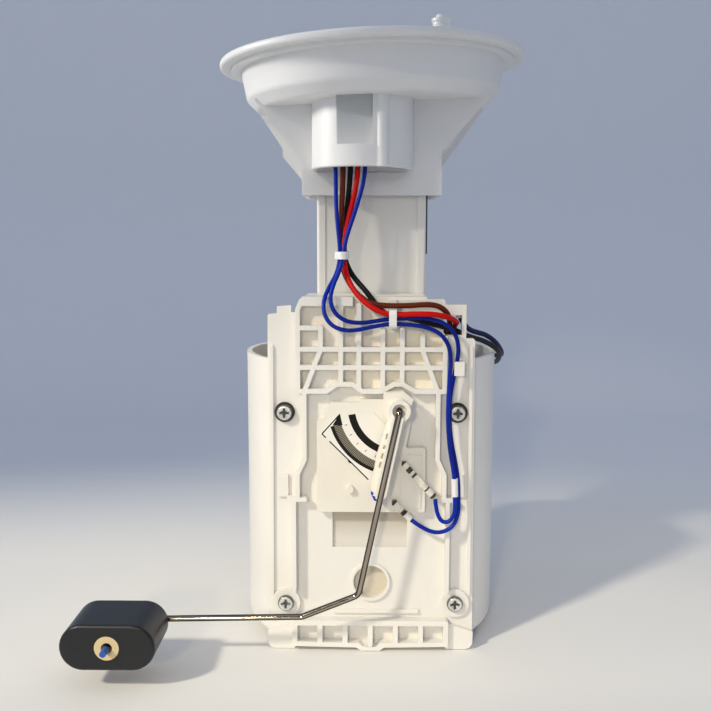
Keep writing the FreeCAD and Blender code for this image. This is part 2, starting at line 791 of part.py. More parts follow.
def flange():
    hull, room = hull_pieces()
    duct, duct_room, pocket, backing, rib = duct_pieces()
    outside = tilted(dish_outside())
    body = joined([outside] + hull + [duct])
    body = body.cut(room).cut(duct_room)
    barb_bottom = dish_floor_z - barb_length
    added = [body, backing, rib]
    # Guide ribs inside the socket
    s = socket_half_width - socket_wall
    rib_top = column_top - lug_height - seat_gap
    for side in (-1, 1):
        inner = side * (column_half_width + seat_gap + strip_thickness)
        outer = side * (s + 0.5)
        for y in lug_y:
            added.append(box(min(inner, outer), max(inner, outer), y - 1.2, y + 1.2, socket_bottom, rib_top))
    for x in (-14.0, 14.0):
        added.append(box(x - 1.2, x + 1.2, socket_front + hull_plate - 0.5, column_front - seat_gap,
                         socket_bottom, rib_top))
        added.append(box(x - 1.2, x + 1.2, column_back + seat_gap, socket_back - hull_plate + 0.5,
                         socket_bottom, rib_top))
    # Level boss and pin for the spring, and the barb for the hose
    added.append(post(spring_radius + 2.5, 0, 0, spring_boss_z, dish_floor_z + 1))
    added.append(post(spring_pin_radius, 0, 0, spring_boss_z - spring_pin_length, spring_boss_z + 0.5))
    added.append(post(barb_radius, barb_x, barb_y, barb_bottom, dish_floor_z + 1.5))
    added.append(ring_barbs(barb_bottom))
    body = joined(added)
    body = body.cut(tilted(dish_inside())).cut(pocket)
    # Seats of the fuel nipple and the barb's bore
    body = body.cut(post(outlet_bore, barb_x, barb_y, barb_bottom - 1, dish_floor_z + 8))
    floor_in = dish_floor_z + dish_wall
    boss = post(nipple_root_radius + 2.4, nipple_x, nipple_y, dish_floor_z + 1.2, floor_in + 3)
    body = joined([body, boss])
    body = body.cut(post(nipple_root_radius + shaft_clearance, nipple_x, nipple_y, floor_in, floor_in + 8))
    return body


def ring_barbs(bottom):
    """Two sawtooth rings at the barb's end."""
    teeth = []
    for step in range(2):
        z = bottom + step * 3.2
        cone = Part.makeCone(barb_radius - 0.3, barb_radius + 0.5, 2.4, Vector(barb_x, barb_y, z))
        teeth.append(cone)
    return joined([teeth[0], teeth[1], post(barb_radius - 0.5, barb_x, barb_y, bottom, bottom + 7)])


def fuel_nipple():
    floor_in = dish_floor_z + dish_wall
    r = nipple_radius
    root = floor_in + nipple_root_length
    body = turned([(0, floor_in), (nipple_root_radius, floor_in), (nipple_root_radius, root), (r, root),
                   (r, nipple_top - 4.6), (r - 0.5, nipple_top - 4.0),
                   (r - 0.5, nipple_top - 3.2), (r, nipple_top - 2.6), (r, nipple_top - 1.6),
                   (nipple_tip_radius + 0.5, nipple_top - 1.2), (nipple_tip_radius, nipple_top),
                   (0, nipple_top)])
    body.translate(Vector(nipple_x, nipple_y, 0))
    return body.cut(post(nipple_bore, nipple_x, nipple_y, floor_in + 4, nipple_top + 1))


def connector_shell():
    """Open rectangular shroud that stands on the dish's floor."""
    base = connector_base()
    w = connector_width / 2
    d = connector_depth / 2
    wall = connector_wall
    outer = box(connector_x - w, connector_x + w, connector_y - d, connector_y + d,
                base, base + connector_height)
    height = connector_height
    outer = rounded(outer, 3.0, lambda e: abs(e.Length - height) < 0.01)
    inner = box(connector_x - w + wall, connector_x + w - wall, connector_y - d + wall,
                connector_y + d - wall, base + 3.0, base + height + 1)
    key = box(connector_x - 3, connector_x + 3, connector_y + d - 0.5, connector_y + d + 1.6,
              base + 2, base + height)
    skirt = box(connector_x - w + 1, connector_x + w - 1, connector_y - d + 1, connector_y + d - 1,
                base - 3.0, base + 0.5)
    shell = joined([outer.cut(inner), key, skirt])
    shell = shell.cut(tilted(dish_floor_cutter()))
    for x in pin_places():
        shell = shell.cut(post(pin_radius + shaft_clearance, x, connector_y, base - 4, base + 4))
    return shell


def connector_base():
    return dish_floor_z + dish_wall + 1.5


def dish_floor_cutter():
    """All below the top of the dish's floor, so that the shroud's foot follows the tilt."""
    z = flange_seat_z - dish_depth + dish_wall + 0.02
    return post(flange_radius, 0, 0, z - 20, z)


def pin_places():
    middle = (pin_count - 1) / 2
    return [connector_x + (step - middle) * pin_pitch for step in range(pin_count)]


def connector_pins():
    base = connector_base()
    floor_in = dish_floor_z + dish_wall
    pins = []
    for x in pin_places():
        pin = post(pin_radius, x, connector_y, floor_in + 0.9, base + 3 + pin_length - 1)
        tip = Part.makeCone(pin_radius, pin_radius * 0.4, 1.0, Vector(x, connector_y, base + 2 + pin_length))
        pins.append(pin.fuse(tip).removeSplitter())
    return Part.makeCompound(pins)


def harness_plug():
    """Block inside the duct that the five wires enter from below."""
    half = plug_width / 2
    block = box(plug_x - half, plug_x + half, plug_low_y, plug_high_y, plug_bottom, plug_bottom + plug_height)
    block = rounded(block, 0.8, lambda e: abs(e.Length - plug_height) < 0.01)
    stem = box(plug_x - 5, plug_x + 5, plug_low_y + 1.0, plug_high_y - 1.0,
               plug_bottom + plug_height - 0.5, dish_floor_z - 1.2)
    return joined([block, stem])


# Level sender

def sender_plate():
    outline = [(-22.0, 60.0), (22.2, 60.0), (22.2, 86.9), (14.2, 86.9), (16.4, 99.0), (16.4, 107.0),
               (-4.0, 107.0), (-5.0, 105.6), (-15.9, 105.6), (-18.8, 102.6), (-19.4, 98.5), (-22.0, 98.5)]
    plate = plate_xz(outline, sender_front, cover_face)
    plate = rounded(plate, 0.7, lambda e: abs(e.Length - sender_thickness) < 0.01)
    boss = peg(pivot_boss_radius, pivot_x, pivot_z, boss_front, cover_face)
    step = plate_xz([(12.4, 62.0), (20.4, 62.0), (20.4, 84.0), (12.4, 84.0)], sender_front - sender_step,
                    cover_face)
    stop = peg(1.6, -8.6, 70.0, sender_front - 2.0, cover_face)
    body = joined([plate, boss, step, stop])
    return body.cut(peg(rod_radius + shaft_clearance, pivot_x, pivot_z, rib_front - 5, cover_face + 1))


def resistor_card():
    outline = [(-12.8, 101.6), (-20.6, 92.8), (0.2, 71.8), (8.4, 77.2), (10.2, 92.0), (1.0, 101.6)]
    return plate_xz(outline, card_front, sender_front)


def crimp(ax, az, bx, bz, seat):
    """A flat terminal on a leg, with a barrel at its lower end."""
    run = math.hypot(bx - ax, bz - az)
    along = Vector((bx - ax) / run, 0, (bz - az) / run)
    start = Vector(ax, terminal_y, az)
    blade = Part.makeBox(run * 0.72, 0.5, 2.4)
    blade.translate(Vector(0, -0.25, -1.2))
    turn = -math.degrees(math.atan2(bz - az, bx - ax))
    blade.rotate(Vector(0, 0, 0), Vector(0, 1, 0), turn)
    blade.translate(start)
    barrel_start = start + along * (run * 0.62)
    barrel = Part.makeCylinder(sender_wire_radius + 0.55, run * 0.38, barrel_start, along)
    leg = box(ax - 0.9, ax + 0.9, terminal_y, seat, az - 0.9, az + 0.9)
    return joined([blade, barrel, leg])


def sender_terminals():
    first = crimp(13.4, 80.8, 25.6, 67.3, sender_front - sender_step)
    second = crimp(9.6, 64.5, 16.2, 57.8, sender_front)
    return Part.makeCompound([first, second])


def arm_holder():
    """White lever that grips the float rod and turns on the sender's boss."""
    outline = [(4.9, 110.4), (12.9, 111.2), (16.8, 108.2), (14.4, 101.0), (12.3, 94.8), (9.9, 83.8),
               (8.4, 77.7), (3.6, 66.6), (1.4, 66.6), (0.0, 69.6), (0.2, 73.0), (2.2, 84.8), (6.6, 98.9),
               (4.9, 106.0)]
    lever = plate_xz(outline, holder_front, holder_back)
    lever = rounded(lever, 0.9, lambda e: abs(e.Length - holder_thickness) < 0.01)
    ex, ez = elbow_one
    run = math.hypot(ex - pivot_x, ez - pivot_z)
    end = (pivot_x + (ex - pivot_x) / run * rail_end, pivot_z + (ez - pivot_z) / run * rail_end)
    rail_front = holder_front - rail_height
    rail = strip_rib([(pivot_x, pivot_z), end], rail_breadth, rail_front, holder_front + 0.5)
    cap = peg(4.4, pivot_x, pivot_z, rail_front + 0.6, holder_front + 0.5)
    body = joined([lever, cap, rail])
    for x, z, length in lever_slots:
        body = body.cut(lever_slot(x, z, length))
    body = body.cut(rod_channel())
    return body.cut(peg(rod_radius + 0.02, pivot_x, pivot_z, holder_front - 3, holder_back + 1))


def lever_slot(x, z, length):
    """Shallow slot along the lever, beside its ridge."""
    ex, ez = elbow_one
    lean = math.degrees(math.atan2(pivot_x - ex, pivot_z - ez))
    slot = Part.makeBox(slot_width, slot_depth * 2, length)
    slot.translate(Vector(-slot_width / 2, -slot_depth, -length / 2))
    slot.rotate(Vector(0, 0, 0), Vector(0, 1, 0), lean)
    slot.translate(Vector(x, holder_front, z))
    return slot


def rod_channel():
    """Groove that the rod snaps into, open to the front."""
    ex, ez = elbow_one
    run = math.hypot(ex - pivot_x, ez - pivot_z)
    along = Vector((ex - pivot_x) / run, 0, (ez - pivot_z) / run)
    start = Vector(pivot_x, rod_y, pivot_z)
    groove = Part.makeCylinder(rod_radius + 0.02, 44, start, along)
    mouth = rod_radius - 0.15
    side = Vector(-along.z * mouth, 0, along.x * mouth)
    a = start + side
    b = start - side
    far = along * 44
    slot = Part.Face(Part.makePolygon([a, b, b + far, a + far, a])).extrude(Vector(0, -4, 0))
    bend = Part.makeSphere(rod_radius * 2 + 0.3, start)
    return joined([groove, slot, bend])


def rod_route():
    """Centre line of the float rod: pivot pin, two bends in its plane, then forward through the float."""
    return [(pivot_x, cover_face - 0.6, pivot_z), (pivot_x, rod_y, pivot_z),
            (elbow_one[0], rod_y, elbow_one[1]), (elbow_two[0], rod_y, elbow_two[1]),
            (float_x, rod_y, float_z), (float_x, float_front - rod_tip, float_z)]


def float_rod():
    spots = [Vector(*point) for point in rod_route()]
    edges = []
    start = spots[0]
    for number, (before, corner, after) in enumerate(zip(spots, spots[1:], spots[2:])):
        radius = rod_bend_radius
        if number in (0, 3):
            radius = rod_radius * 1.05
        back = before - corner
        ahead = after - corner
        turn = math.pi - back.getAngle(ahead)
        reach = radius * math.tan(turn / 2)
        back.normalize()
        ahead.normalize()
        first = corner + back * reach
        last = corner + ahead * reach
        inward = back + ahead
        inward.normalize()
        middle = corner + inward * (radius / math.cos(turn / 2) - radius)
        edges.append(Part.LineSegment(start, first).toShape())
        edges.append(Part.Arc(first, middle, last).toShape())
        start = last
    edges.append(Part.LineSegment(start, spots[-1]).toShape())
    path = Part.Wire(edges)
    section = Part.Wire(Part.makeCircle(rod_radius, spots[0], Vector(0, -1, 0)))
    return path.makePipeShell([section], True, True)


def wiper_contacts():
    """Sprung fork behind the holder that bears on the card."""
    hold = box(3.4, 7.4, holder_back, holder_back + 0.4, 80.0, 88.0)
    fingers = []
    for x in (3.9, 5.9):
        finger = plate_yz([(holder_back + 0.2, 82.0), (card_front - 0.5, 76.0), (card_front - 0.15, 76.0),
                           (holder_back + 0.6, 82.6)], x, x + 0.9)
        fingers.append(finger)
    return joined([hold] + fingers)


def plate_yz(points, x0, x1):
    corners = [Vector(x0, y, z) for y, z in points]
    return Part.Face(Part.makePolygon(corners + corners[:1])).extrude(Vector(x1 - x0, 0, 0))


def stadium(length, height, y0, y1):
    r = height / 2
    half = length / 2 - r
    return joined([box(float_x - half, float_x + half, y0, y1, float_z - r, float_z + r),
                   peg(r, float_x - half, float_z, y0, y1), peg(r, float_x + half, float_z, y0, y1)])


def float_block():
    block = stadium(float_length, float_height, float_front, float_back)
    block = rounded(block, float_round, lambda e: e.BoundBox.YLength < 0.01)
    return block.cut(peg(bush_radius, float_x, float_z, float_front - 1, float_back + 1))


def float_bush():
    bush = peg(bush_radius, float_x, float_z, float_front, float_back)
    bush = bush.cut(peg(rod_radius + shaft_clearance, float_x, float_z, float_front - 1, float_back + 1))
    mouth = Part.makeCone(rod_radius + 0.9, rod_radius + shaft_clearance, 3.0,
                          Vector(float_x, float_front - 0.01, float_z), Vector(0, 1, 0))
    return bush.cut(mouth)


# Pump

def pump_case():
    return ring(case_radius, case_radius - case_wall, pump_x, pump_y, case_low_z, case_high_z)


def pump_inlet_cap():
    """Lower cap with the impeller's chamber, the lower bearing's seat and the inlet pipe."""
    x = pump_x
    y = pump_y
    inside = case_radius - case_wall
    body = joined([post(case_radius, x, y, pump_low_z, case_low_z),
                   post(inside, x, y, case_low_z - 0.5, case_low_z + cap_overlap + 4)])
    chamber_low = case_low_z - impeller_thickness - 1.0
    chamber_high = case_low_z
    body = body.cut(post(impeller_radius + chamber_gap, x, y, chamber_low - chamber_gap,
                         chamber_high - 1 + chamber_gap))
    seat_low = case_low_z + cap_overlap
    body = body.cut(post(bearing_radius, x, y, seat_low, seat_low + 8))
    body = body.cut(post(shaft_radius + 0.4, x, y, chamber_low, seat_low + 1))
    port = post(3.0, x - 10.5, y, pump_low_z - 1, chamber_low)
    exit_port = post(2.0, x + 10.5, y, chamber_high - 2, case_low_z + 12)
    pipe = ring(inlet_radius, 3.0, x - 10.5, y, pump_low_z - 2.5, pump_low_z + 0.5)
    pipe = pipe.common(box(-80, 80, -80, 80, 0, pump_low_z + 0.5))
    return joined([body.cut(port).cut(exit_port), pipe]).cut(port)


def pump_outlet_cap():
    """Upper cap with the outlet pipe, the plug's socket and an arm that holds the regulator."""
    x = pump_x
    y = pump_y
    inside = case_radius - case_wall
    low = case_high_z
    high = case_high_z + outlet_cap_height
    body = joined([post(case_radius, x, y, low, high - 3),
                   Part.makeCone(case_radius - 0.5, case_radius - 3.5, 3.0, Vector(x, y, high - 3)),
                   post(inside, x, y, low - cap_overlap, low + 0.5),
                   post(outlet_radius, x - 7, y + 3, high - 0.5, high + outlet_length),
                   Part.makeCone(outlet_radius + 0.5, outlet_radius - 0.4, 3.0,
                                 Vector(x - 7, y + 3, high + outlet_length - 3.4)),
                   box(x + 2, x + 14, y - 6, y + 6, high - 0.5, high + 5)])
    body = body.cut(post(outlet_bore, x - 7, y + 3, low - cap_overlap - 1, high + outlet_length + 1))
    body = body.cut(post(bearing_radius, x, y, low - cap_overlap - 1, low - cap_overlap + bearing_length))
    body = body.cut(box(x + 4.2, x + 11.8, y - 3.8, y + 3.8, high + 1, high + 6))
    # Arm and cup that carry the pressure regulator
    cup = ring(regulator_waist + carrier_thickness - 1, regulator_radius + seat_gap, regulator_x, regulator_y,
               low, low + 7)
    reach = Vector(regulator_x - x, regulator_y - y, 0)
    reach.normalize()
    side = Vector(-reach.y, reach.x, 0) * 4
    a = Vector(x, y, low + 0.5) + reach * (case_radius - 4)
    b = Vector(regulator_x, regulator_y, low + 0.5) - reach * (regulator_radius + 1.2)
    arm = Part.Face(Part.makePolygon([a + side, b + side, b - side, a - side, a + side]))
    return joined([body, cup, arm.extrude(Vector(0, 0, 5.0))])


def pump_sleeve():
    """Rubber isolator round the pump's foot, with raised rings."""
    low = floor_top + 1.2
    outer = [ring(sleeve_radius - 0.6, case_radius + 0.03, pump_x, pump_y,
                  case_low_z - 2, case_low_z + sleeve_height)]
    for step in range(4):
        z = case_low_z - 1 + step * 5.5
        outer.append(ring(sleeve_radius, case_radius + 0.03, pump_x, pump_y, z, z + 2.4))
    return joined(outer)


def pump_bearings():
    low = case_low_z + cap_overlap
    high = case_high_z - cap_overlap
    lower = ring(bearing_radius - 0.02, shaft_radius + shaft_clearance, pump_x, pump_y,
                 low, low + bearing_length)
    upper = ring(bearing_radius - 0.02, shaft_radius + shaft_clearance, pump_x, pump_y,
                 high, high + bearing_length)
    return Part.makeCompound([lower, upper])


def pump_magnets():
    """Two curved magnets inside the case."""
    outer = case_radius - case_wall - 0.02
    inner = armature_radius + magnet_air_gap
    shell = ring(outer, inner, pump_x, pump_y, armature_low_z - 2, armature_high_z + 2)
    halves = []
    for side in (-1, 1):
        edge = side * 1.5
        far = side * (case_radius + 1)
        halves.append(shell.common(box(pump_x - 30, pump_x + 30, pump_y + min(edge, far),
                                       pump_y + max(edge, far), 0, rim_height)))
    return Part.makeCompound(halves)


def pump_brushes():
    """Two carbon blocks that bear on the commutator, hung from the upper cap."""
    z = armature_high_z + 1.5
    blocks = []
    for side in (-1, 1):
        x0 = side * (commutator_radius + 0.15)
        x1 = side * (commutator_radius + 4.0)
        foot = box(pump_x + min(x0, x1), pump_x + max(x0, x1), pump_y - 2, pump_y + 2, z, z + 3.5)
        stalk_0 = side * (commutator_radius + 1.5)
        stalk = box(pump_x + min(stalk_0, x1), pump_x + max(stalk_0, x1), pump_y - 1.5, pump_y + 1.5,
                    z + 3, case_high_z - cap_overlap)
        blocks.append(joined([foot, stalk]))
    return Part.makeCompound(blocks)


def pump_armature():
    x = pump_x
    y = pump_y
    stack = post(armature_radius, x, y, armature_low_z, armature_high_z)
    slots = []
    for step in range(8):
        slot = box(-0.7, 0.7, armature_radius - 4, armature_radius + 1,
                   armature_low_z - 1, armature_high_z + 1)
        slot.rotate(Vector(0, 0, 0), Vector(0, 0, 1), step * 45)
        slot.translate(Vector(x, y, 0))
        slots.append(slot)
    stack = stack.cut(Part.makeCompound(slots))
    commutator = post(commutator_radius, x, y, armature_high_z - 0.5, armature_high_z + commutator_height)
    body = joined([stack, commutator])
    return body.cut(post(shaft_radius + 0.01, x, y, armature_low_z - 1, armature_high_z + 10))


def pump_shaft():
    return post(shaft_radius, pump_x, pump_y, case_low_z - impeller_thickness - 1.0,
                case_high_z - cap_overlap + bearing_length - 0.4)


def pump_impeller():
    low = case_low_z - impeller_thickness - 1.0
    high = low + impeller_thickness
    disc = post(impeller_radius, pump_x, pump_y, low, high)
    pockets = []
    for step in range(impeller_vanes):
        pocket = box(-1.0, 1.0, impeller_radius - 3.4, impeller_radius - 1.0, low - 1, high + 1)
        pocket.rotate(Vector(0, 0, 0), Vector(0, 0, 1), step * 360 / impeller_vanes)
        pocket.translate(Vector(pump_x, pump_y, 0))
        pockets.append(pocket)
    disc = disc.cut(Part.makeCompound(pockets))
    return disc.cut(post(shaft_radius + 0.01, pump_x, pump_y, low - 1, high + 1))


def pump_plug():
    """Plug in the upper cap's socket that the pump's wires enter from above."""
    x = pump_x + 8
    y = pump_y
    low = case_high_z + outlet_cap_height + 1.2
    insert = box(x - 3.6, x + 3.6, y - 3.6, y + 3.6, low, low + 4.5)
    head = box(x - 5.5, x + 5.5, y - 5.0, y + 5.0, low + 4.0, low + 12.3)
    head = rounded(head, 1.0, lambda e: e.BoundBox.ZLength > 8)
    return joined([insert, head])


# Strainer, regulator, jet pump

def intake_strainer():
    """Flat filter sock under the pump, a closed pillow round the inlet pipe."""
    z = floor_top + strainer_gap
    half_w = strainer_width / 2
    half_l = strainer_length / 2
    x = pump_x - 6
    sock = box(x - half_l, x + half_l, pump_y - half_w, pump_y + half_w, z, z + strainer_height)
    sock = rounded(sock, 7.0, lambda e: abs(e.Length - strainer_height) < 0.01)
    sock = rounded(sock, 1.6, lambda e: e.BoundBox.ZLength < 0.01)
    collar = ring(inlet_radius + 1.5, 3.0, pump_x - 10.5, pump_y, z + strainer_height - 1, pump_low_z - 2.6)
    return joined([sock.cut(post(3.0, pump_x - 10.5, pump_y, z + 1.2, z + 20)), collar])


def pressure_regulator():
    low = regulator_low_z
    x = regulator_x
    y = regulator_y
    top = case_high_z + 7
    can = post(regulator_radius, x, y, case_high_z - 6, top + 4.4)
    can = rounded(can, 1.5, lambda e: e.BoundBox.ZMin > top + 4.3)
    waist = post(regulator_waist, x, y, case_high_z - 2.2, case_high_z - 0.02)
    neck = post(return_radius + 1.2, x, y, low, case_high_z - 5.5)
    return joined([can, waist, neck])


def return_tube():
    """Moulded pipe from the regulator down to the jet pump."""
    x = regulator_x
    y = regulator_y
    low = floor_top + 2 * jet_radius + 0.6
    pipe = ring(return_radius, return_radius - 1.1, x, y, low, regulator_low_z)
    collar = ring(return_radius + 1.6, return_radius - 1.1, x, y, regulator_low_z - 6, regulator_low_z)
    return joined([pipe, collar])


def jet_pump():
    """Venturi on the floor that feeds the reservoir, with its nozzle block under the return pipe."""
    x = regulator_x
    y = regulator_y
    z = floor_top + jet_radius
    block = box(x - 6, x + 6, y - 6, y + 6, floor_top, floor_top + 2 * jet_radius + 0.6)
    block = rounded(block, 1.5, lambda e: e.BoundBox.ZLength > 5)
    barrel = peg(jet_radius, x, z, y - 6 - jet_length, y)
    bell = Part.makeCone(jet_radius + 1.2, jet_radius - 1.0, 8.0,
                         Vector(x, y - 6 - jet_length, z), Vector(0, 1, 0))
    bell = bell.common(box(x - 20, x + 20, -60, 60, floor_top, 60))
    body = joined([block, barrel, bell])
    body = body.cut(peg(jet_radius - 1.6, x, z, y - 7 - jet_length, y + 2))
    return body.cut(post(return_radius - 1.1, x, y, z, z + 20))


# Hose, clamps, wires and ties

def hose_route():
    top_z = dish_floor_z - barb_length - 0.2
    start_x = pump_x - 7
    start_y = pump_y + 3
    start_z = case_high_z + outlet_cap_height + outlet_length + 0.2
    return [(start_x, start_y, start_z), (start_x, start_y, start_z + 16), (-7.0, 33.0, 144.0),
            (-9.5, 38.0, 162.0), (-2.0, 41.0, 180.0), (5.5, 38.0, 193.0), (barb_x, barb_y, 204.0),
            (barb_x, barb_y, top_z)]


def outlet_hose():
    return tube_along(hose_route(), hose_radius, "outlet_hose")


def hose_clamps():
    """A band over each end of the hose."""
    start = hose_route()[0]
    end = hose_route()[-1]
    outer = hose_radius + clamp_wall
    inner = hose_radius + 0.03
    low = ring(outer, inner, start[0], start[1], start[2] + clamp_inset, start[2] + clamp_inset + clamp_width)
    high = ring(outer, inner, end[0], end[1], end[2] - clamp_inset - clamp_width, end[2] - clamp_inset)
    return low, high


blue_outer_route = [(-14.6, -34.0, 205.0), (-14.6, -34.0, 199.0), (-14.5, -34.5, 193.5),
                    (-14.4, -35.4, 188.0), (-14.2, -36.6, 182.6), (-13.7, -37.9, 177.3),
                    (-13.1, -39.0, 171.9), (-12.6, -39.6, 166.4), (-12.7, -39.8, 163.0),
                    (-13.9, -40.9, 157.4), (-16.7, -43.1, 152.6), (-18.9, -45.5, 147.7),
                    (-19.0, -47.8, 142.3), (-16.1, -49.3, 137.5), (-10.7, -49.6, 135.4),
                    (-4.9, -48.9, 135.7), (0.8, -48.0, 137.0), (6.6, -47.3, 137.9), (10.4, -47.2, 138.0),
                    (16.4, -47.2, 137.6), (22.2, -46.9, 136.6), (27.6, -46.6, 134.1),
                    (30.9, -46.4, 129.3), (31.7, -46.3, 123.4), (31.3, -46.3, 117.5),
                    (31.0, -46.4, 111.5), (30.8, -46.5, 105.6), (30.8, -46.6, 99.6), (31.1, -46.6, 93.7),
                    (31.7, -46.5, 87.7), (32.7, -46.4, 81.8), (33.8, -46.4, 76.0), (34.1, -46.4, 67.0),
                    (34.3, -46.4, 62.6), (33.5, -46.3, 58.9), (31.4, -46.1, 56.8), (29.0, -45.9, 57.0),
                    (27.4, -45.6, 59.4), (26.6, -45.4, 62.8), (26.2, -45.2, 66.2)]
blue_inner_route = [(-2.6, -34.0, 205.0), (-2.6, -34.0, 199.0), (-3.5, -34.9, 193.4),
                    (-4.9, -36.2, 187.9), (-6.5, -37.8, 182.6), (-8.3, -39.4, 177.3),
                    (-10.0, -40.8, 172.0), (-11.2, -41.5, 166.4), (-11.5, -41.9, 163.0),
                    (-13.1, -43.5, 157.8), (-15.3, -45.3, 152.9), (-16.6, -46.7, 147.5),
                    (-14.8, -47.2, 142.2), (-10.3, -46.7, 138.9), (-4.7, -46.1, 138.1),
                    (1.0, -45.5, 138.8), (6.6, -45.2, 139.7), (10.4, -45.2, 139.8), (16.4, -45.4, 140.2),
                    (22.4, -45.2, 140.1), (28.1, -44.7, 138.6), (32.9, -44.4, 135.0),
                    (34.9, -44.2, 129.4), (34.6, -44.0, 123.5), (33.4, -43.8, 117.6),
                    (32.3, -43.8, 111.7), (31.7, -43.8, 105.7), (31.7, -43.8, 99.7), (32.1, -43.9, 93.7),
                    (33.0, -43.9, 87.8), (34.2, -44.0, 81.9), (35.3, -44.0, 76.0), (35.7, -44.0, 71.5),
                    (35.8, -44.0, 67.0), (36.0, -44.4, 60.5), (33.8, -45.2, 54.5), (28.0, -45.6, 51.9),
                    (21.9, -45.5, 53.5), (16.6, -45.2, 57.4)]
red_route = [(-5.6, -34.0, 205.0), (-5.6, -34.0, 199.0), (-6.2, -34.4, 193.5), (-7.2, -34.8, 188.0),
             (-8.5, -35.4, 182.7), (-9.7, -36.3, 177.3), (-10.7, -37.1, 171.9), (-11.2, -37.5, 166.4),
             (-11.2, -37.9, 163.0), (-10.2, -39.7, 157.0), (-7.8, -42.6, 151.9), (-4.1, -45.5, 147.6),
             (0.7, -47.1, 143.8), (6.6, -47.3, 141.7), (10.4, -47.2, 141.6), (16.2, -47.4, 141.9),
             (22.0, -47.2, 142.0), (27.5, -45.9, 141.4), (32.3, -43.1, 139.8), (34.8, -38.4, 137.7),
             (34.2, -35.4, 137.2), (33.8, -31.0, 133.3), (34.0, -28.0, 127.7), (33.3, -24.5, 123.0),
             (32.0, -20.3, 119.1), (30.2, -15.4, 116.3), (27.9, -10.2, 114.7), (25.4, -5.0, 114.0),
             (22.9, 0.4, 114.3), (20.6, 5.7, 115.4), (18.5, 11.1, 117.0), (16.8, 16.5, 117.9),
             (15.8, 21.9, 116.1), (15.6, 25.6, 111.5)]
brown_route = [(-11.6, -34.0, 205.0), (-11.6, -34.0, 199.0), (-11.7, -34.3, 192.5),
               (-12.0, -34.7, 186.0), (-12.3, -35.0, 179.4), (-12.7, -35.2, 172.9),
               (-12.6, -35.6, 166.4), (-12.5, -35.7, 163.0), (-10.9, -36.8, 157.0), (-8.1, -39.3, 152.1),
               (-4.2, -42.2, 147.9), (0.6, -44.4, 145.4), (6.5, -45.2, 145.0), (10.5, -45.2, 145.0),
               (15.9, -45.3, 145.1), (21.3, -45.2, 145.6), (26.7, -44.1, 145.1), (30.6, -41.8, 142.0),
               (31.8, -38.3, 137.9), (31.7, -35.5, 135.5), (31.8, -31.9, 130.6), (32.0, -29.2, 125.2),
               (31.5, -26.1, 120.0), (30.2, -22.1, 115.6), (28.2, -17.4, 112.4), (25.7, -12.2, 110.5),
               (23.1, -6.8, 109.8), (20.5, -1.3, 110.3), (18.1, 4.1, 111.6), (15.9, 9.5, 113.7),
               (14.1, 14.9, 115.5), (12.8, 20.8, 115.1), (12.4, 25.6, 111.5)]
black_route = [(-8.6, -34.0, 205.0), (-8.6, -34.0, 199.0), (-9.0, -33.6, 192.5), (-9.7, -33.3, 186.0),
               (-10.4, -33.1, 179.5), (-10.9, -33.2, 172.9), (-11.1, -33.6, 166.4),
               (-10.9, -33.7, 163.0), (-8.6, -35.2, 157.7), (-5.2, -37.7, 153.6), (-1.4, -40.2, 149.6),
               (2.1, -41.9, 144.6), (6.2, -43.2, 141.1), (10.4, -43.2, 140.9), (16.3, -42.7, 139.6),
               (22.2, -42.5, 137.9), (28.2, -41.5, 136.6), (33.3, -38.3, 134.9), (35.7, -35.4, 133.8),
               (38.9, -31.1, 132.0), (42.5, -26.4, 130.4), (46.0, -21.8, 129.2), (49.5, -17.4, 127.5),
               (53.1, -13.3, 125.3), (56.0, -8.9, 122.7), (57.2, -3.8, 120.0), (57.6, 1.7, 117.7),
               (57.6, 7.3, 115.9), (57.0, 13.0, 114.7), (55.6, 18.7, 114.3), (53.6, 24.3, 114.8),
               (51.0, 29.4, 116.2), (47.9, 33.8, 118.5), (44.1, 37.3, 121.4), (39.7, 39.4, 124.7),
               (34.3, 39.6, 127.1), (28.8, 38.1, 126.9), (24.0, 35.9, 124.3), (20.0, 33.5, 120.6),
               (16.7, 31.1, 116.3), (14.2, 28.8, 111.5)]
earth_route = [(36.6, -33.9, 139.1), (39.0, -29.7, 135.3), (42.1, -25.0, 133.2), (45.5, -20.1, 131.9),
               (49.1, -15.4, 130.6), (52.5, -10.9, 128.4), (55.5, -6.4, 125.7), (57.8, -1.5, 122.9),
               (59.4, 3.8, 120.4), (59.9, 9.5, 118.6), (59.5, 15.4, 117.4), (58.2, 21.4, 117.0),
               (56.1, 27.0, 117.4), (53.1, 32.2, 118.6), (49.6, 36.5, 120.7), (45.6, 39.8, 124.0),
               (40.9, 41.8, 127.4), (35.4, 42.7, 129.5), (29.5, 42.7, 129.2), (23.9, 42.3, 126.9),
               (18.7, 42.1, 123.8), (13.3, 42.2, 120.9), (7.7, 42.5, 118.5), (2.0, 42.6, 116.6),
               (-3.8, 42.0, 115.2), (-9.6, 40.5, 114.1), (-15.1, 37.9, 113.3), (-20.0, 34.4, 112.6),
               (-24.2, 30.1, 111.9), (-27.8, 25.3, 110.8), (-30.5, 20.4, 108.8), (-32.3, 15.8, 105.3),
               (-33.0, 12.0, 100.6)]

harness = {"blue_outer_wire": blue_outer_route, "blue_inner_wire": blue_inner_route,
           "red_wire": red_route, "brown_wire": brown_route, "black_wire": black_route,
           "earth_wire": earth_route}


def upper_tie():
    """Narrow strap round the five wires above the cover."""
    places = [(-12.7, -39.45), (-11.4, -41.65), (-11.2, -37.7), (-12.55, -35.65), (-11.0, -33.65)]
    return strap_around(places, 163.2, 163.2 + tie_width)


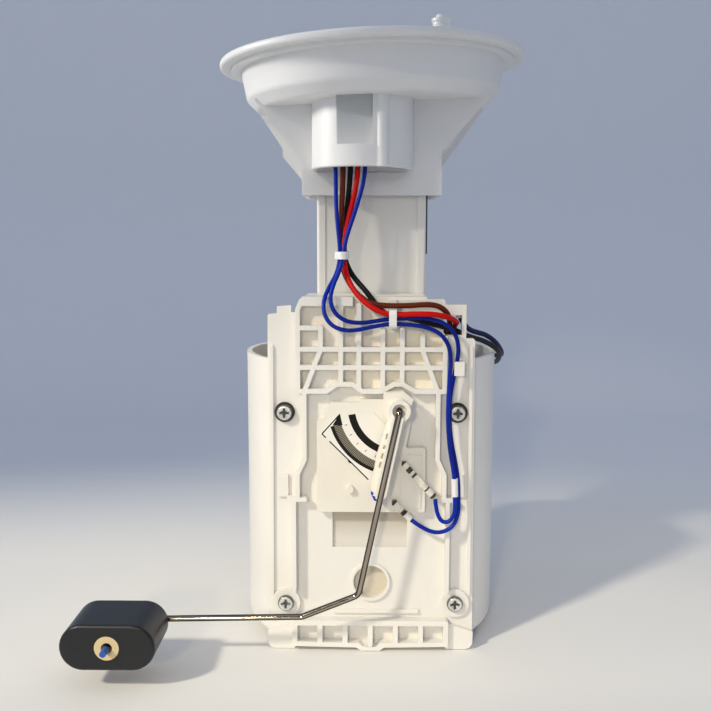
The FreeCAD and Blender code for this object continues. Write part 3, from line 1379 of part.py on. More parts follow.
def strap_around(places, z0, z1):
    outer = hull_of_circles(places, wire_radius + tie_gap + tie_wall)
    inner = hull_of_circles(places, wire_radius + tie_gap)
    outer_solid = outer.extrude(Vector(0, 0, z1 - z0))
    inner_solid = inner.extrude(Vector(0, 0, z1 - z0))
    strap = outer_solid.cut(inner_solid)
    strap.translate(Vector(0, 0, z0))
    return strap


def hull_of_circles(places, radius):
    """Stretched outline round a few circles, flat in XY, as straight sides and corner arcs."""
    spots = convex(places)
    edges = []
    count = len(spots)
    for number in range(count):
        ax, ay = spots[number - 1]
        bx, by = spots[number]
        cx, cy = spots[(number + 1) % count]
        n1 = outward(ax, ay, bx, by)
        n2 = outward(bx, by, cx, cy)
        middle = Vector(n1.x + n2.x, n1.y + n2.y, 0)
        middle.normalize()
        here = Vector(bx, by, 0)
        edges.append(Part.Arc(here + n1 * radius, here + middle * radius, here + n2 * radius).toShape())
        there = Vector(cx, cy, 0)
        edges.append(Part.LineSegment(here + n2 * radius, there + n2 * radius).toShape())
    return Part.Face(Part.Wire(edges))


def outward(ax, ay, bx, by):
    run = math.hypot(bx - ax, by - ay)
    return Vector((by - ay) / run, -(bx - ax) / run, 0)


def convex(places):
    """Corner points of the places, in turn anticlockwise."""
    spots = sorted(places)

    def chain(points):
        line = []
        for point in points:
            while len(line) > 1 and turn_of(line[-2], line[-1], point) <= 0:
                line.pop()
            line.append(point)
        return line[:-1]

    return chain(spots) + chain(spots[::-1])


def turn_of(a, b, c):
    return (b[0] - a[0]) * (c[1] - a[1]) - (b[1] - a[1]) * (c[0] - a[0])


def lower_tie():
    """Strap round four of the wires, closed in front of the cover's finger."""
    w = tie_wall
    low = 136.8
    high = 142.9
    front = -48.6
    outer = box(6.9, 6.9 + tie_width, front - w, finger_front, low - w, high + w)
    outer = rounded(outer, 1.9, lambda e: e.BoundBox.XLength > tie_width - 0.1)
    inner = box(6.0, 11.0, front, finger_front - w, low, high)
    inner = rounded(inner, 1.2, lambda e: e.BoundBox.XLength > tie_width)
    return outer.cut(inner)


def wire_sleeve():
    """Short sleeve on the outer blue wire, beside the lower end of the right rail."""
    low = Vector(*sleeve_low)
    high = Vector(*sleeve_high)
    along = high - low
    run = along.Length
    along.normalize()
    start = low + along * 0.8
    outer = Part.makeCylinder(sender_wire_radius + sleeve_skin, run - 1.6, start, along)
    return outer.cut(Part.makeCylinder(sender_wire_radius + 0.1, run, low, along))


def earth_tab():
    """Brass tab on the back of the cover's post, with the barrel of the earth wire."""
    x, y, z = earth_route[0]
    blade = box(x - 2.2, x + 2.2, front_face, front_face + 0.6, z + 0.4, z + 5.0)
    barrel = post(wire_radius + 0.6, x, y, z + 0.9, z + 4.4)
    web = box(x - 0.6, x + 0.6, front_face + 0.3, y, z + 1.4, z + 4.0)
    return joined([blade, barrel, web])


def write_all():
    lower_clamp, upper_clamp = hose_clamps()
    pieces = {
        "reservoir": reservoir(), "rubber_feet": rubber_feet(), "foot_valve": foot_valve(),
        "front_cover": front_cover(), "cover_screws": cover_screws(), "screw_rings": screw_rings(),
        "guide_column": guide_column(), "guide_strip": guide_strip(), "guide_spring": guide_spring(),
        "flange": flange(), "fuel_nipple": fuel_nipple(), "connector_shell": connector_shell(),
        "connector_pins": connector_pins(), "harness_plug": harness_plug(),
        "sender_plate": sender_plate(), "resistor_card": resistor_card(),
        "sender_terminals": sender_terminals(), "arm_holder": arm_holder(), "float_rod": float_rod(),
        "wiper_contacts": wiper_contacts(), "float_block": float_block(), "float_bush": float_bush(),
        "pump_case": pump_case(), "pump_inlet_cap": pump_inlet_cap(),
        "pump_outlet_cap": pump_outlet_cap(), "pump_sleeve": pump_sleeve(),
        "pump_bearings": pump_bearings(), "pump_magnets": pump_magnets(),
        "pump_brushes": pump_brushes(), "pump_armature": pump_armature(), "pump_shaft": pump_shaft(),
        "pump_impeller": pump_impeller(), "pump_plug": pump_plug(),
        "intake_strainer": intake_strainer(), "pressure_regulator": pressure_regulator(),
        "return_tube": return_tube(), "jet_pump": jet_pump(), "outlet_hose": outlet_hose(),
        "lower_hose_clamp": lower_clamp, "upper_hose_clamp": upper_clamp,
        "upper_tie": upper_tie(), "lower_tie": lower_tie(), "wire_sleeve": wire_sleeve(),
        "earth_tab": earth_tab(),
    }
    for name, route in harness.items():
        radius = sender_wire_radius if name.startswith("blue") else wire_radius
        pieces[name] = tube_along(route, radius, name)
    for name, shape in pieces.items():
        save(name, shape)


os.makedirs("parts", exist_ok=True)
write_all()
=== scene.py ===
# %% [markdown]
# # A fuel pump module
# This file dresses a solid model of a fuel pump module: it finds the solids, sets the
# camera and the light, and gives every piece a finish made from nodes. Only what the
# solids leave plain is modelled here, such as the wires, which are one smooth line each.

# %% Load the solid model and keep its box
import bpy
import math
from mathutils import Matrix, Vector


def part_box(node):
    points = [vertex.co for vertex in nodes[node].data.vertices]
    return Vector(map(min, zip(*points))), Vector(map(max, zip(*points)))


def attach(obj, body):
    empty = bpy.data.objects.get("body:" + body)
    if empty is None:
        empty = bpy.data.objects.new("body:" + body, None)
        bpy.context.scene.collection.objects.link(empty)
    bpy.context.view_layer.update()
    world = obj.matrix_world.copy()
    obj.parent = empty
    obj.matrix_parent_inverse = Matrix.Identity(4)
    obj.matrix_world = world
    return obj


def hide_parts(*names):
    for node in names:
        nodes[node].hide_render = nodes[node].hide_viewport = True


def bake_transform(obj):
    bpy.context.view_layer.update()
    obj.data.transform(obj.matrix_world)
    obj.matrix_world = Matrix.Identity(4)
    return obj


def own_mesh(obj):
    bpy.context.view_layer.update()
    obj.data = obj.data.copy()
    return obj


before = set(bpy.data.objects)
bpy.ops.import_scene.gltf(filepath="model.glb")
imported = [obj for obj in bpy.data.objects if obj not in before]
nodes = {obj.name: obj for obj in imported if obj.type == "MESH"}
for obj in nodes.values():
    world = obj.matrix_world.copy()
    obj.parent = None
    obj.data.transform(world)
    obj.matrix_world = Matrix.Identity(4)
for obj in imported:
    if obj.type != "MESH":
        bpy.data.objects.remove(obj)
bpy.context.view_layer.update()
bpy.ops.object.select_all(action='DESELECT')

MM = 0.001

# %% [markdown]
# The camera stands in front at the height of the guide column, so it sees the flange
# from below, with a lens of normal length, and it looks a little down. Its numbers come
# from lining up the flange, the four cover screws and the feet. The lens is given in mm
# and the turn in degrees.

# %% Camera
CAMERA_PLACE = (-2.35 * MM, -403.0 * MM, 171.0 * MM)
CAMERA_TURN = (90 - 7.31, -0.11, 0.65)
LENS = 45.76

camera_data = bpy.data.cameras.new("camera")
camera_data.sensor_width = 36.0
camera_data.lens = LENS
camera_data.clip_start = 0.01
camera = bpy.data.objects.new("camera", camera_data)
bpy.context.scene.collection.objects.link(camera)
camera.location = CAMERA_PLACE
camera.rotation_euler = [math.radians(angle) for angle in CAMERA_TURN]
bpy.context.scene.camera = camera
print("camera at", tuple(round(v, 4) for v in camera.location))

# %% [markdown]
# These small helpers build node trees, here and further down. Most add one node, link or
# set its inputs and give back the output, so that a look can be written as a sum.

# %% Node helpers
def feed(tree, socket, value):
    """Link a value from another node to this input, or set the input to a number."""
    if isinstance(value, (int, float)):
        socket.default_value = value
    else:
        tree.links.new(value, socket)


def noise(tree, vector, scale, detail):
    node = tree.nodes.new("ShaderNodeTexNoise")
    node.inputs["Detail"].default_value = detail
    tree.links.new(vector, node.inputs["Vector"])
    feed(tree, node.inputs["Scale"], scale)
    return node.outputs["Fac"]


def remap(tree, value, low, high, to_low=0.0, to_high=1.0):
    """Turn the range from low to high into another one, and stop at its ends."""
    node = tree.nodes.new("ShaderNodeMapRange")
    tree.links.new(value, node.inputs["Value"])
    for label, number in (("From Min", low), ("From Max", high), ("To Min", to_low), ("To Max", to_high)):
        node.inputs[label].default_value = number
    return node.outputs["Result"]


def blend_colours(tree, amount, first, second):
    """The first colour where the amount is 0 and the second where it is 1."""
    node = tree.nodes.new("ShaderNodeMix")
    node.data_type = 'RGBA'
    tree.links.new(amount, node.inputs["Factor"])
    for label, value in (("A", first), ("B", second)):
        if isinstance(value, tuple):
            node.inputs[label].default_value = (*value, 1)
        else:
            tree.links.new(value, node.inputs[label])
    return node.outputs["Result"]


def split(tree, vector):
    """The X, Y and Z of a vector."""
    node = tree.nodes.new("ShaderNodeSeparateXYZ")
    tree.links.new(vector, node.inputs["Vector"])
    return node.outputs["X"], node.outputs["Y"], node.outputs["Z"]


def calculate(tree, operation, first, second=None):
    node = tree.nodes.new("ShaderNodeMath")
    node.operation = operation
    feed(tree, node.inputs[0], first)
    if second is not None:
        feed(tree, node.inputs[1], second)
    return node.outputs["Value"]


def new_material(name):
    """A node material, with its tree, its shader and the place on the piece."""
    material = bpy.data.materials.new(name)
    material.use_nodes = True
    tree = material.node_tree
    place = tree.nodes.new("ShaderNodeTexCoord").outputs["Object"]
    return material, tree, tree.nodes["Principled BSDF"], place


print("node helpers:", [helper.__name__ for helper in (noise, remap, blend_colours, split, calculate)])

# %% [markdown]
# The floor is a plain pale sheet that curves up into the backdrop. It is one plane,
# extruded back and up, with the fold softened by a bevel, so that no edge shows behind
# the object. The paper is warm white round the object and turns grey-blue towards the
# back and a little towards the camera: painted shade, in place of a coloured lamp, which
# also gives the polished rod something darker to mirror. Lengths are in metres here.

# %% Floor and backdrop
WARM_PAPER = ((0.80, 0.79, 0.76), (0.84, 0.83, 0.80))
# Painted shade on the paper: grey-blue far off, and darker towards the camera.
FAR_PAPER_SHADE = (0.76, 0.79, 0.84)
NEAR_PAPER_SHADE = (0.52, 0.54, 0.58)
TURNS_TO_FAR = (0.06, 0.30)
TURNS_TO_NEAR = (-0.07, -0.20)

paper, paper_tree, paper_shader, paper_place = new_material("floor_paper")
depth = split(paper_tree, paper_place)[1]
warm = blend_colours(paper_tree, noise(paper_tree, paper_place, 1.3, 1.0), *WARM_PAPER)
towards_back = blend_colours(paper_tree, remap(paper_tree, depth, *TURNS_TO_FAR), warm, FAR_PAPER_SHADE)
both_ways = blend_colours(paper_tree, remap(paper_tree, depth, *TURNS_TO_NEAR), towards_back, NEAR_PAPER_SHADE)
paper_tree.links.new(both_ways, paper_shader.inputs["Base Color"])
paper_shader.inputs["Roughness"].default_value = 0.85

FLOOR_WIDTH, FLOOR_DEPTH, FLOOR_SHIFT = 7.0, 1.5, -0.05
WALL_HEIGHT, WALL_LEANS = 1.6, 0.05
FOLD_SIZE = 0.25

bpy.ops.mesh.primitive_plane_add(size=1, location=(0, 0, 0))
floor = bpy.context.object
floor.name = "floor"
bpy.ops.object.mode_set(mode='EDIT')
bpy.ops.transform.resize(value=(FLOOR_WIDTH, FLOOR_DEPTH, 1))
bpy.ops.transform.translate(value=(0, FLOOR_SHIFT, 0))
bpy.ops.mesh.select_all(action='DESELECT')
bpy.ops.object.mode_set(mode='OBJECT')
for edge in floor.data.edges:
    edge.select = all(floor.data.vertices[v].co.y > 0 for v in edge.vertices)
bpy.ops.object.mode_set(mode='EDIT')
bpy.ops.mesh.select_mode(type='EDGE')
bpy.ops.mesh.extrude_region_move(TRANSFORM_OT_translate={"value": (0, WALL_LEANS, WALL_HEIGHT)})
bpy.ops.object.mode_set(mode='OBJECT')
bpy.ops.object.transform_apply(location=True, rotation=True, scale=True)
fold = floor.modifiers.new("fold", 'BEVEL')
fold.width = FOLD_SIZE
fold.segments = 24
fold.limit_method = 'ANGLE'
bpy.ops.object.modifier_apply(modifier="fold")
bpy.ops.object.shade_smooth()
floor.data.materials.append(paper)
print("floor faces:", len(floor.data.polygons))

# %% [markdown]
# The room is lit by a cool, even sky, which leaves the shade grey-blue. A warm beam
# comes in from the upper left in front, wide enough for the lower half of the object and
# the floor round it. A weaker one from the front softens its shadows, and a weak lamp
# catches the left side of the flange. Polished metal needs something dark to mirror, so
# in reflections alone the sky turns dark in front, over a range of the direction's Y.

# %% Lamps and world
def add_spot(name, power, colour, angle, edge, size, place, target):
    """A spot lamp that points from its place at the target."""
    light = bpy.data.lights.new(name, 'SPOT')
    light.energy = power
    light.color = colour
    light.spot_size = math.radians(angle)
    light.spot_blend = edge
    light.shadow_soft_size = size
    lamp = bpy.data.objects.new(name, light)
    bpy.context.scene.collection.objects.link(lamp)
    lamp.location = place
    lamp.rotation_euler = (Vector(target) - lamp.location).to_track_quat('-Z', 'Y').to_euler()


add_spot("beam", power=104.0, colour=(1.0, 0.905, 0.73), angle=39.4, edge=0.08, size=0.08,
         place=(-1.14, -1.13, 1.22), target=(-0.39, -0.56, 0.0))
add_spot("front_beam", power=27.0, colour=(1.0, 0.86, 0.62), angle=21.6, edge=0.15, size=0.07,
         place=(-0.30, -1.50, 0.50), target=(0, -0.35, 0.0))
add_spot("fill", power=23.0, colour=(1.0, 0.96, 0.88), angle=15, edge=0.35, size=0.08,
         place=(-0.86, -0.03, 0.46), target=(0, 0, 0.22))

SKY_BLUE = (0.42, 0.46, 0.55)
DARK_ROOM = (0.03, 0.03, 0.035)
TURNS_DARK = (-0.35, -0.75)

world = bpy.data.worlds.new("sky")
bpy.context.scene.world = world
world.use_nodes = True
sky_tree = world.node_tree
sky = sky_tree.nodes["Background"]
sky.inputs["Strength"].default_value = 1.0
direction = sky_tree.nodes.new("ShaderNodeTexCoord").outputs["Generated"]
in_front = remap(sky_tree, split(sky_tree, direction)[1], *TURNS_DARK)
is_mirrored = sky_tree.nodes.new("ShaderNodeLightPath").outputs["Is Glossy Ray"]
seen_dark = calculate(sky_tree, 'MULTIPLY', in_front, is_mirrored)
sky_colour = blend_colours(sky_tree, seen_dark, SKY_BLUE, DARK_ROOM)
sky_tree.links.new(sky_colour, sky.inputs["Color"])
bpy.context.scene.view_settings.view_transform = 'Standard'
print("lamps:", [light.name for light in bpy.data.lights])

# %% [markdown]
# Three effects are used again and again, so each is a node group: a moulded plastic's
# faint mottling with its fine grain, drawn or rolled metal's streaks, and the pores of
# rubber, cloth and carbon. Each puts out a colour, a roughness and a height for a bump.

# %% Node groups
SURFACE = [("Colour", 'NodeSocketColor'), ("Roughness", 'NodeSocketFloat'), ("Height", 'NodeSocketFloat')]


def colour_input(label, colour):
    return label, 'NodeSocketColor', (*colour, 1)


def new_group(name, inputs, outputs=SURFACE):
    """A node group that takes the place on the piece and these inputs."""
    group = bpy.data.node_groups.new(name, 'ShaderNodeTree')
    for label, kind, value in [("Position", 'NodeSocketVector', (0, 0, 0)), *inputs]:
        socket = group.interface.new_socket(name=label, in_out='INPUT', socket_type=kind)
        socket.default_value = value
    for label, kind in outputs:
        group.interface.new_socket(name=label, in_out='OUTPUT', socket_type=kind)
    start = group.nodes.new("NodeGroupInput").outputs
    end = group.nodes.new("NodeGroupOutput").inputs
    return group, start, end


def moulded_group():
    group, start, end = new_group("moulded_surface", [
        colour_input("Colour", (0.8, 0.8, 0.8)), colour_input("Shade", (0.7, 0.7, 0.7)),
        ("Grain size", 'NodeSocketFloat', 900.0)])
    cloud = noise(group, start["Position"], 26.0, 2.0)
    mottled = blend_colours(group, remap(group, cloud, 0.38, 0.68), start["Colour"], start["Shade"])
    group.links.new(mottled, end["Colour"])
    group.links.new(remap(group, cloud, 0.3, 0.7, 0.34, 0.46), end["Roughness"])
    group.links.new(noise(group, start["Position"], start["Grain size"], 2.0), end["Height"])
    return group


def streaked_group():
    group, start, end = new_group("streaked_metal", [
        colour_input("Colour", (0.6, 0.6, 0.6)), colour_input("Dull", (0.4, 0.4, 0.4)),
        ("Stretch", 'NodeSocketVector', (1, 1, 0.05))])
    stretch = group.nodes.new("ShaderNodeVectorMath")
    stretch.operation = 'MULTIPLY'
    group.links.new(start["Position"], stretch.inputs[0])
    group.links.new(start["Stretch"], stretch.inputs[1])
    streaks = noise(group, stretch.outputs["Vector"], 900.0, 3.0)
    spots = remap(group, noise(group, start["Position"], 160.0, 3.0), 0.45, 0.72, 0.0, 0.8)
    group.links.new(blend_colours(group, spots, start["Colour"], start["Dull"]), end["Colour"])
    group.links.new(remap(group, streaks, 0.3, 0.7, 0.20, 0.42), end["Roughness"])
    group.links.new(streaks, end["Height"])
    return group


def pored_group():
    group, start, end = new_group("pored_rubber", [
        colour_input("Colour", (0.03, 0.03, 0.03)), colour_input("Bloom", (0.08, 0.08, 0.08)),
        ("Pore size", 'NodeSocketFloat', 1400.0)])
    pores = group.nodes.new("ShaderNodeTexVoronoi")
    group.links.new(start["Position"], pores.inputs["Vector"])
    group.links.new(start["Pore size"], pores.inputs["Scale"])
    haze = noise(group, start["Position"], 55.0, 3.0)
    group.links.new(blend_colours(group, remap(group, haze, 0.42, 0.75), start["Colour"], start["Bloom"]),
                    end["Colour"])
    group.links.new(remap(group, haze, 0.3, 0.7, 0.62, 0.80), end["Roughness"])
    group.links.new(pores.outputs["Distance"], end["Height"])
    return group


MOULDED = moulded_group()
STREAKED = streaked_group()
PORED = pored_group()
print("node groups:", [g.name for g in bpy.data.node_groups])

# %% [markdown]
# A finish is a Principled shader fed by one of the groups. What is the same all over,
# such as the light that soaks into the acetal, is set on the shader.

# %% Finishes
def dressed(name, group, bump):
    """A material whose colour, roughness and relief come from the group."""
    material, tree, shader, place = new_material(name)
    effect = tree.nodes.new("ShaderNodeGroup")
    effect.node_tree = group
    relief = tree.nodes.new("ShaderNodeBump")
    relief.inputs["Strength"].default_value = bump
    relief.inputs["Distance"].default_value = 0.2 * MM
    tree.links.new(place, effect.inputs["Position"])
    tree.links.new(effect.outputs["Height"], relief.inputs["Height"])
    tree.links.new(relief.outputs["Normal"], shader.inputs["Normal"])
    tree.links.new(effect.outputs["Colour"], shader.inputs["Base Color"])
    tree.links.new(effect.outputs["Roughness"], shader.inputs["Roughness"])
    return material, tree, shader, effect


def finish(name, group, colours, grain, bump, metallic=0.0, soak=0.0):
    """A dressed material with the group's two colours and its grain or stretch."""
    material, tree, shader, effect = dressed(name, group, bump)
    for socket, colour in zip(list(effect.inputs)[1:3], colours):
        socket.default_value = (*colour, 1)
    effect.inputs[3].default_value = grain
    shader.inputs["Metallic"].default_value = metallic
    if soak:
        shader.inputs["Subsurface Weight"].default_value = soak
        shader.inputs["Subsurface Radius"].default_value = (1.0, 0.8, 0.55)
        shader.inputs["Subsurface Scale"].default_value = 3 * MM
    return material


SUNNY = ((0.80, 0.785, 0.745), (0.765, 0.745, 0.695))
COOL = ((0.80, 0.80, 0.79), (0.76, 0.76, 0.75))
WARM = ((0.80, 0.775, 0.70), (0.75, 0.72, 0.635))
ALL_WAYS = (1, 1, 1)
acetal = finish("acetal_white", MOULDED, SUNNY, 950.0, 0.12, soak=0.12)
acetal_cool = finish("acetal_flange", MOULDED, COOL, 800.0, 0.12, soak=0.12)
acetal_warm = finish("acetal_sender", MOULDED, WARM, 1000.0, 0.10, soak=0.15)
black_plastic = finish("plastic_black", MOULDED, ((0.045, 0.045, 0.05), (0.03, 0.03, 0.034)), 700.0, 0.25)
tan_plastic = finish("plastic_tan", MOULDED, ((0.62, 0.50, 0.28), (0.54, 0.42, 0.22)), 900.0, 0.15)
foam = finish("float_foam", MOULDED, ((0.005, 0.006, 0.008), (0.011, 0.012, 0.015)), 2400.0, 0.30)
rubber = finish("moulded_rubber", PORED, ((0.018, 0.018, 0.019), (0.045, 0.044, 0.043)), 1500.0, 0.20)
filter_cloth = finish("filter_cloth", PORED, ((0.62, 0.62, 0.58), (0.50, 0.50, 0.45)), 2600.0, 0.6)
carbon = finish("pressed_carbon", PORED, ((0.03, 0.03, 0.03), (0.06, 0.06, 0.06)), 1800.0, 0.3)


def metal(name, colours, stretch, bump):
    return finish(name, STREAKED, colours, stretch, bump, metallic=1.0)


zinc = metal("zinc_plate", ((0.74, 0.75, 0.72), (0.42, 0.42, 0.39)), ALL_WAYS, 0.08)
drawn_steel = metal("drawn_steel", ((0.52, 0.49, 0.45), (0.32, 0.28, 0.23)), (1, 1, 0.05), 0.10)
plated_case = metal("plated_case", ((0.60, 0.60, 0.58), (0.45, 0.44, 0.42)), (1, 1, 0.1), 0.06)
ground_steel = metal("ground_steel", ((0.30, 0.29, 0.28), (0.16, 0.15, 0.14)), (0.2, 0.2, 2), 0.20)
bronze = metal("sintered_bronze", ((0.48, 0.33, 0.16), (0.30, 0.20, 0.10)), ALL_WAYS, 0.30)
tinned = metal("tinned_brass", ((0.60, 0.55, 0.42), (0.52, 0.40, 0.20)), ALL_WAYS, 0.10)


def wire_finish(name, colour, deep):
    skin = finish(name, MOULDED, (colour, deep), 1600.0, 0.05)
    skin.node_tree.nodes["Principled BSDF"].inputs["Specular IOR Level"].default_value = 0.16
    return skin


blue_skin = wire_finish("wire_blue", (0.001, 0.022, 0.36), (0.001, 0.010, 0.19))
red_skin = wire_finish("wire_red", (0.64, 0.002, 0.002), (0.46, 0.001, 0.001))
brown_skin = wire_finish("wire_brown", (0.13, 0.022, 0.006), (0.08, 0.012, 0.004))
black_skin = wire_finish("wire_black", (0.006, 0.006, 0.007), (0.012, 0.012, 0.013))
navy_skin = wire_finish("wire_navy", (0.003, 0.008, 0.10), (0.002, 0.004, 0.05))
print("finishes:", len(bpy.data.materials))

# %% [markdown]
# The lattice's cells get painted light: a warm colour, in random patches, for the light
# inside the reservoir that shows through where the cover is thin. The shallow pocket gets
# painted shade, warm and darker towards its top. The ribs stay white. The group finds
# these places by their depth, measured along Y in mm, and mixes the colours in. A mask is
# a number from 0 to 1 over the surface: a product of masks holds where all of them do, and
# the greatest of them holds where any does.

# %% Thin walls of the cover
LATTICE_FACE = (-39.2, -38.8)
POCKET_FACE = (-38.6, -36.2)
LATTICE_STARTS = (108, 112)
LATTICE_HALF_WIDTH = 30.0
POCKET_HEIGHTS = (47, 58)


def between(tree, value, low, high):
    """A mask that is 1 where the value is between these two."""
    return calculate(tree, 'MULTIPLY', calculate(tree, 'GREATER_THAN', value, low),
                     calculate(tree, 'LESS_THAN', value, high))


def between_mm(tree, value, low, high):
    return between(tree, value, low * MM, high * MM)


def all_of(tree, mask, *others):
    for other in others:
        mask = calculate(tree, 'MULTIPLY', mask, other)
    return mask


def any_of(tree, masks):
    found = 0.0
    for mask in masks:
        found = calculate(tree, 'MAXIMUM', mask, found)
    return found


def wrapped(group, inside, start, end):
    """The colour of an inner group, whose inputs, roughness and relief are passed on."""
    inner = group.nodes.new("ShaderNodeGroup")
    inner.node_tree = inside
    for given, taken in zip(list(start), list(inner.inputs)):
        group.links.new(given, taken)
    group.links.new(inner.outputs["Roughness"], end["Roughness"])
    group.links.new(inner.outputs["Height"], end["Height"])
    return inner.outputs["Colour"]


def thin_group():
    group, start, end = new_group("thin_walls", [
        colour_input("Colour", (0.8, 0.78, 0.74)), colour_input("Shade", (0.76, 0.74, 0.69)),
        ("Grain size", 'NodeSocketFloat', 950.0), colour_input("Painted cell light", (0.92, 0.83, 0.64)),
        colour_input("Painted pocket shade", (0.40, 0.34, 0.24))])
    plain = wrapped(group, MOULDED, start, end)
    x, y, z = split(group, start["Position"])
    low, high = LATTICE_STARTS
    wide = calculate(group, 'LESS_THAN', calculate(group, 'ABSOLUTE', x), LATTICE_HALF_WIDTH * MM)
    cells = all_of(group, between_mm(group, y, *LATTICE_FACE), remap(group, z, low * MM, high * MM), wide)
    # Painted light: the cells' warm colour stands for light from the reservoir shining through, in random
    # patches.
    patch = remap(group, noise(group, start["Position"], 40.0, 1.0), 0.35, 0.65, 0.15, 0.60)
    cells_with_painted_light = blend_colours(group, all_of(group, cells, patch), plain, start["Painted cell light"])
    # Painted shade in the shallow pocket, stronger towards its top.
    low, high = POCKET_HEIGHTS
    pocket = all_of(group, between_mm(group, y, *POCKET_FACE),
                    remap(group, z, low * MM, high * MM, 0.25, 0.80))
    group.links.new(blend_colours(group, pocket, cells_with_painted_light, start["Painted pocket shade"]), end["Colour"])
    return group


acetal_cover = finish("acetal_cover", thin_group(), ((0.80, 0.785, 0.745), (0.77, 0.75, 0.70)), 950.0, 0.12,
                      soak=0.12)
print("cover finish:", acetal_cover.name)

# %% [markdown]
# The card of the level sender carries printed tracks: a solid arc, a row of ticks, a
# broad hatched band and a solid outer arc, all drawn about the lever's pivot. The group
# works in polar coordinates about that pivot, so the tracks lie along the lever's sweep.
# The thin frame's straight lines are found by the distance from each. The black wedge at
# the band's upper end is what lies on the left of all its three edges. Arcs are radii in
# mm, and places are X and Z in mm.

# %% The card's print
PIVOT = (11.1 * MM, 104.2 * MM)
INNER_ARC = (17.7, 20.6)
TICK_ROW = (22.1, 23.1)
HATCHED_BAND = (24.3, 27.4)
OUTER_ARC = (27.4, 28.8)
TRACK_SWEEP = (math.radians(-170), math.radians(-111))
BAND_SWEEP = (math.radians(-163), math.radians(-111))
TICKS_PER_RADIAN, TICK_SHARE = 5.0, 0.06
HATCHES_PER_RADIAN, HATCH_SHARE = 40.0, 0.45
WEDGE = [(-12.6, 101.2), (-15.6, 96.3), (-11.5, 96.3)]
LINE_WIDTH = 0.52
FRAME_LINES = [((-12.6, 100.9), (-19.9, 92.8)), ((-19.9, 92.8), (-18.3, 91.2)), ((-16.9, 89.8), (-7.4, 80.3)),
               ((-7.4, 80.3), (-1.0, 73.8)), ((-9.4, 81.6), (-8.4, 80.6))]


def straight_line(tree, x, z, first, last, width):
    """A mask that is 1 within half the width of the line between two places, in mm."""
    run = math.hypot(last[0] - first[0], last[1] - first[1])
    way_x, way_z = (last[0] - first[0]) / run, (last[1] - first[1]) / run
    dx = calculate(tree, 'SUBTRACT', x, first[0] * MM)
    dz = calculate(tree, 'SUBTRACT', z, first[1] * MM)
    far = calculate(tree, 'ADD', calculate(tree, 'MULTIPLY', dx, way_x),
                    calculate(tree, 'MULTIPLY', dz, way_z))
    off = calculate(tree, 'SUBTRACT', calculate(tree, 'MULTIPLY', dz, way_x),
                    calculate(tree, 'MULTIPLY', dx, way_z))
    return all_of(tree, between_mm(tree, far, 0.0, run), between_mm(tree, off, -width / 2, width / 2))


def left_of(tree, x, z, first, last):
    """A mask that is 1 on the left of the line from the first place to the last, in mm."""
    up = calculate(tree, 'MULTIPLY', calculate(tree, 'SUBTRACT', z, first[1] * MM), last[0] - first[0])
    aside = calculate(tree, 'MULTIPLY', calculate(tree, 'SUBTRACT', x, first[0] * MM), last[1] - first[1])
    return calculate(tree, 'GREATER_THAN', calculate(tree, 'SUBTRACT', up, aside), 0.0)


def distance(tree, x, z, place_x, place_z):
    """How far the spot is from a place, and the two steps that lead there."""
    dx = calculate(tree, 'SUBTRACT', x, place_x)
    dz = calculate(tree, 'SUBTRACT', z, place_z)
    squares = calculate(tree, 'ADD', calculate(tree, 'MULTIPLY', dx, dx), calculate(tree, 'MULTIPLY', dz, dz))
    return calculate(tree, 'SQRT', squares), dx, dz


def stripes(tree, angle, per_radian, share):
    """A mask of stripes that fill this share of each step round the pivot."""
    step = calculate(tree, 'FRACT', calculate(tree, 'MULTIPLY', angle, per_radian))
    return calculate(tree, 'LESS_THAN', step, share)


def print_group():
    group, start, end = new_group("card_print", [
        colour_input("Card", (0.79, 0.77, 0.71)), colour_input("Ink", (0.008, 0.007, 0.006)),
        colour_input("Hatch", (0.27, 0.24, 0.19)),
        ("Pivot x", 'NodeSocketFloat', PIVOT[0]), ("Pivot z", 'NodeSocketFloat', PIVOT[1])])
    x, _, z = split(group, start["Position"])
    radius, dx, dz = distance(group, x, z, start["Pivot x"], start["Pivot z"])
    angle = calculate(group, 'ARCTAN2', dz, dx)
    sweep = between(group, angle, *TRACK_SWEEP)
    short_sweep = between(group, angle, *BAND_SWEEP)
    band = all_of(group, between_mm(group, radius, *HATCHED_BAND), short_sweep)
    hatch = all_of(group, band, stripes(group, angle, HATCHES_PER_RADIAN, HATCH_SHARE))
    ticks = all_of(group, between_mm(group, radius, *TICK_ROW),
                   stripes(group, angle, TICKS_PER_RADIAN, TICK_SHARE))
    tracks = all_of(group, any_of(group, [between_mm(group, radius, *INNER_ARC), ticks]), sweep)
    outer = all_of(group, between_mm(group, radius, *OUTER_ARC), short_sweep)
    wedge = all_of(group, *[left_of(group, x, z, *side) for side in zip(WEDGE, WEDGE[1:] + WEDGE[:1])])
    lines = [straight_line(group, x, z, *line, LINE_WIDTH) for line in FRAME_LINES]
    grey = blend_colours(group, band, start["Card"], start["Hatch"])
    hatched = blend_colours(group, hatch, grey, start["Ink"])
    black = any_of(group, [tracks, outer, wedge, *lines])
    speckle = noise(group, start["Position"], 700.0, 2.0)
    group.links.new(blend_colours(group, black, hatched, start["Ink"]), end["Colour"])
    group.links.new(remap(group, speckle, 0.3, 0.7, 0.30, 0.42), end["Roughness"])
    group.links.new(speckle, end["Height"])
    return group


ceramic, _, card_shader, card_effect = dressed("printed_card", print_group(), 0.08)
card_shader.inputs["Specular IOR Level"].default_value = 0.2
print("print group nodes:", len(card_effect.node_tree.nodes))

# %% [markdown]
# The float rod's end in front of the float is dipped in blue paint. A mask along Y, with
# a slightly ragged edge, mixes the paint over the drawn steel. Where the bare rod turns
# away from the viewer its colour is darkened, a painted reflection that makes its middle
# look bright.

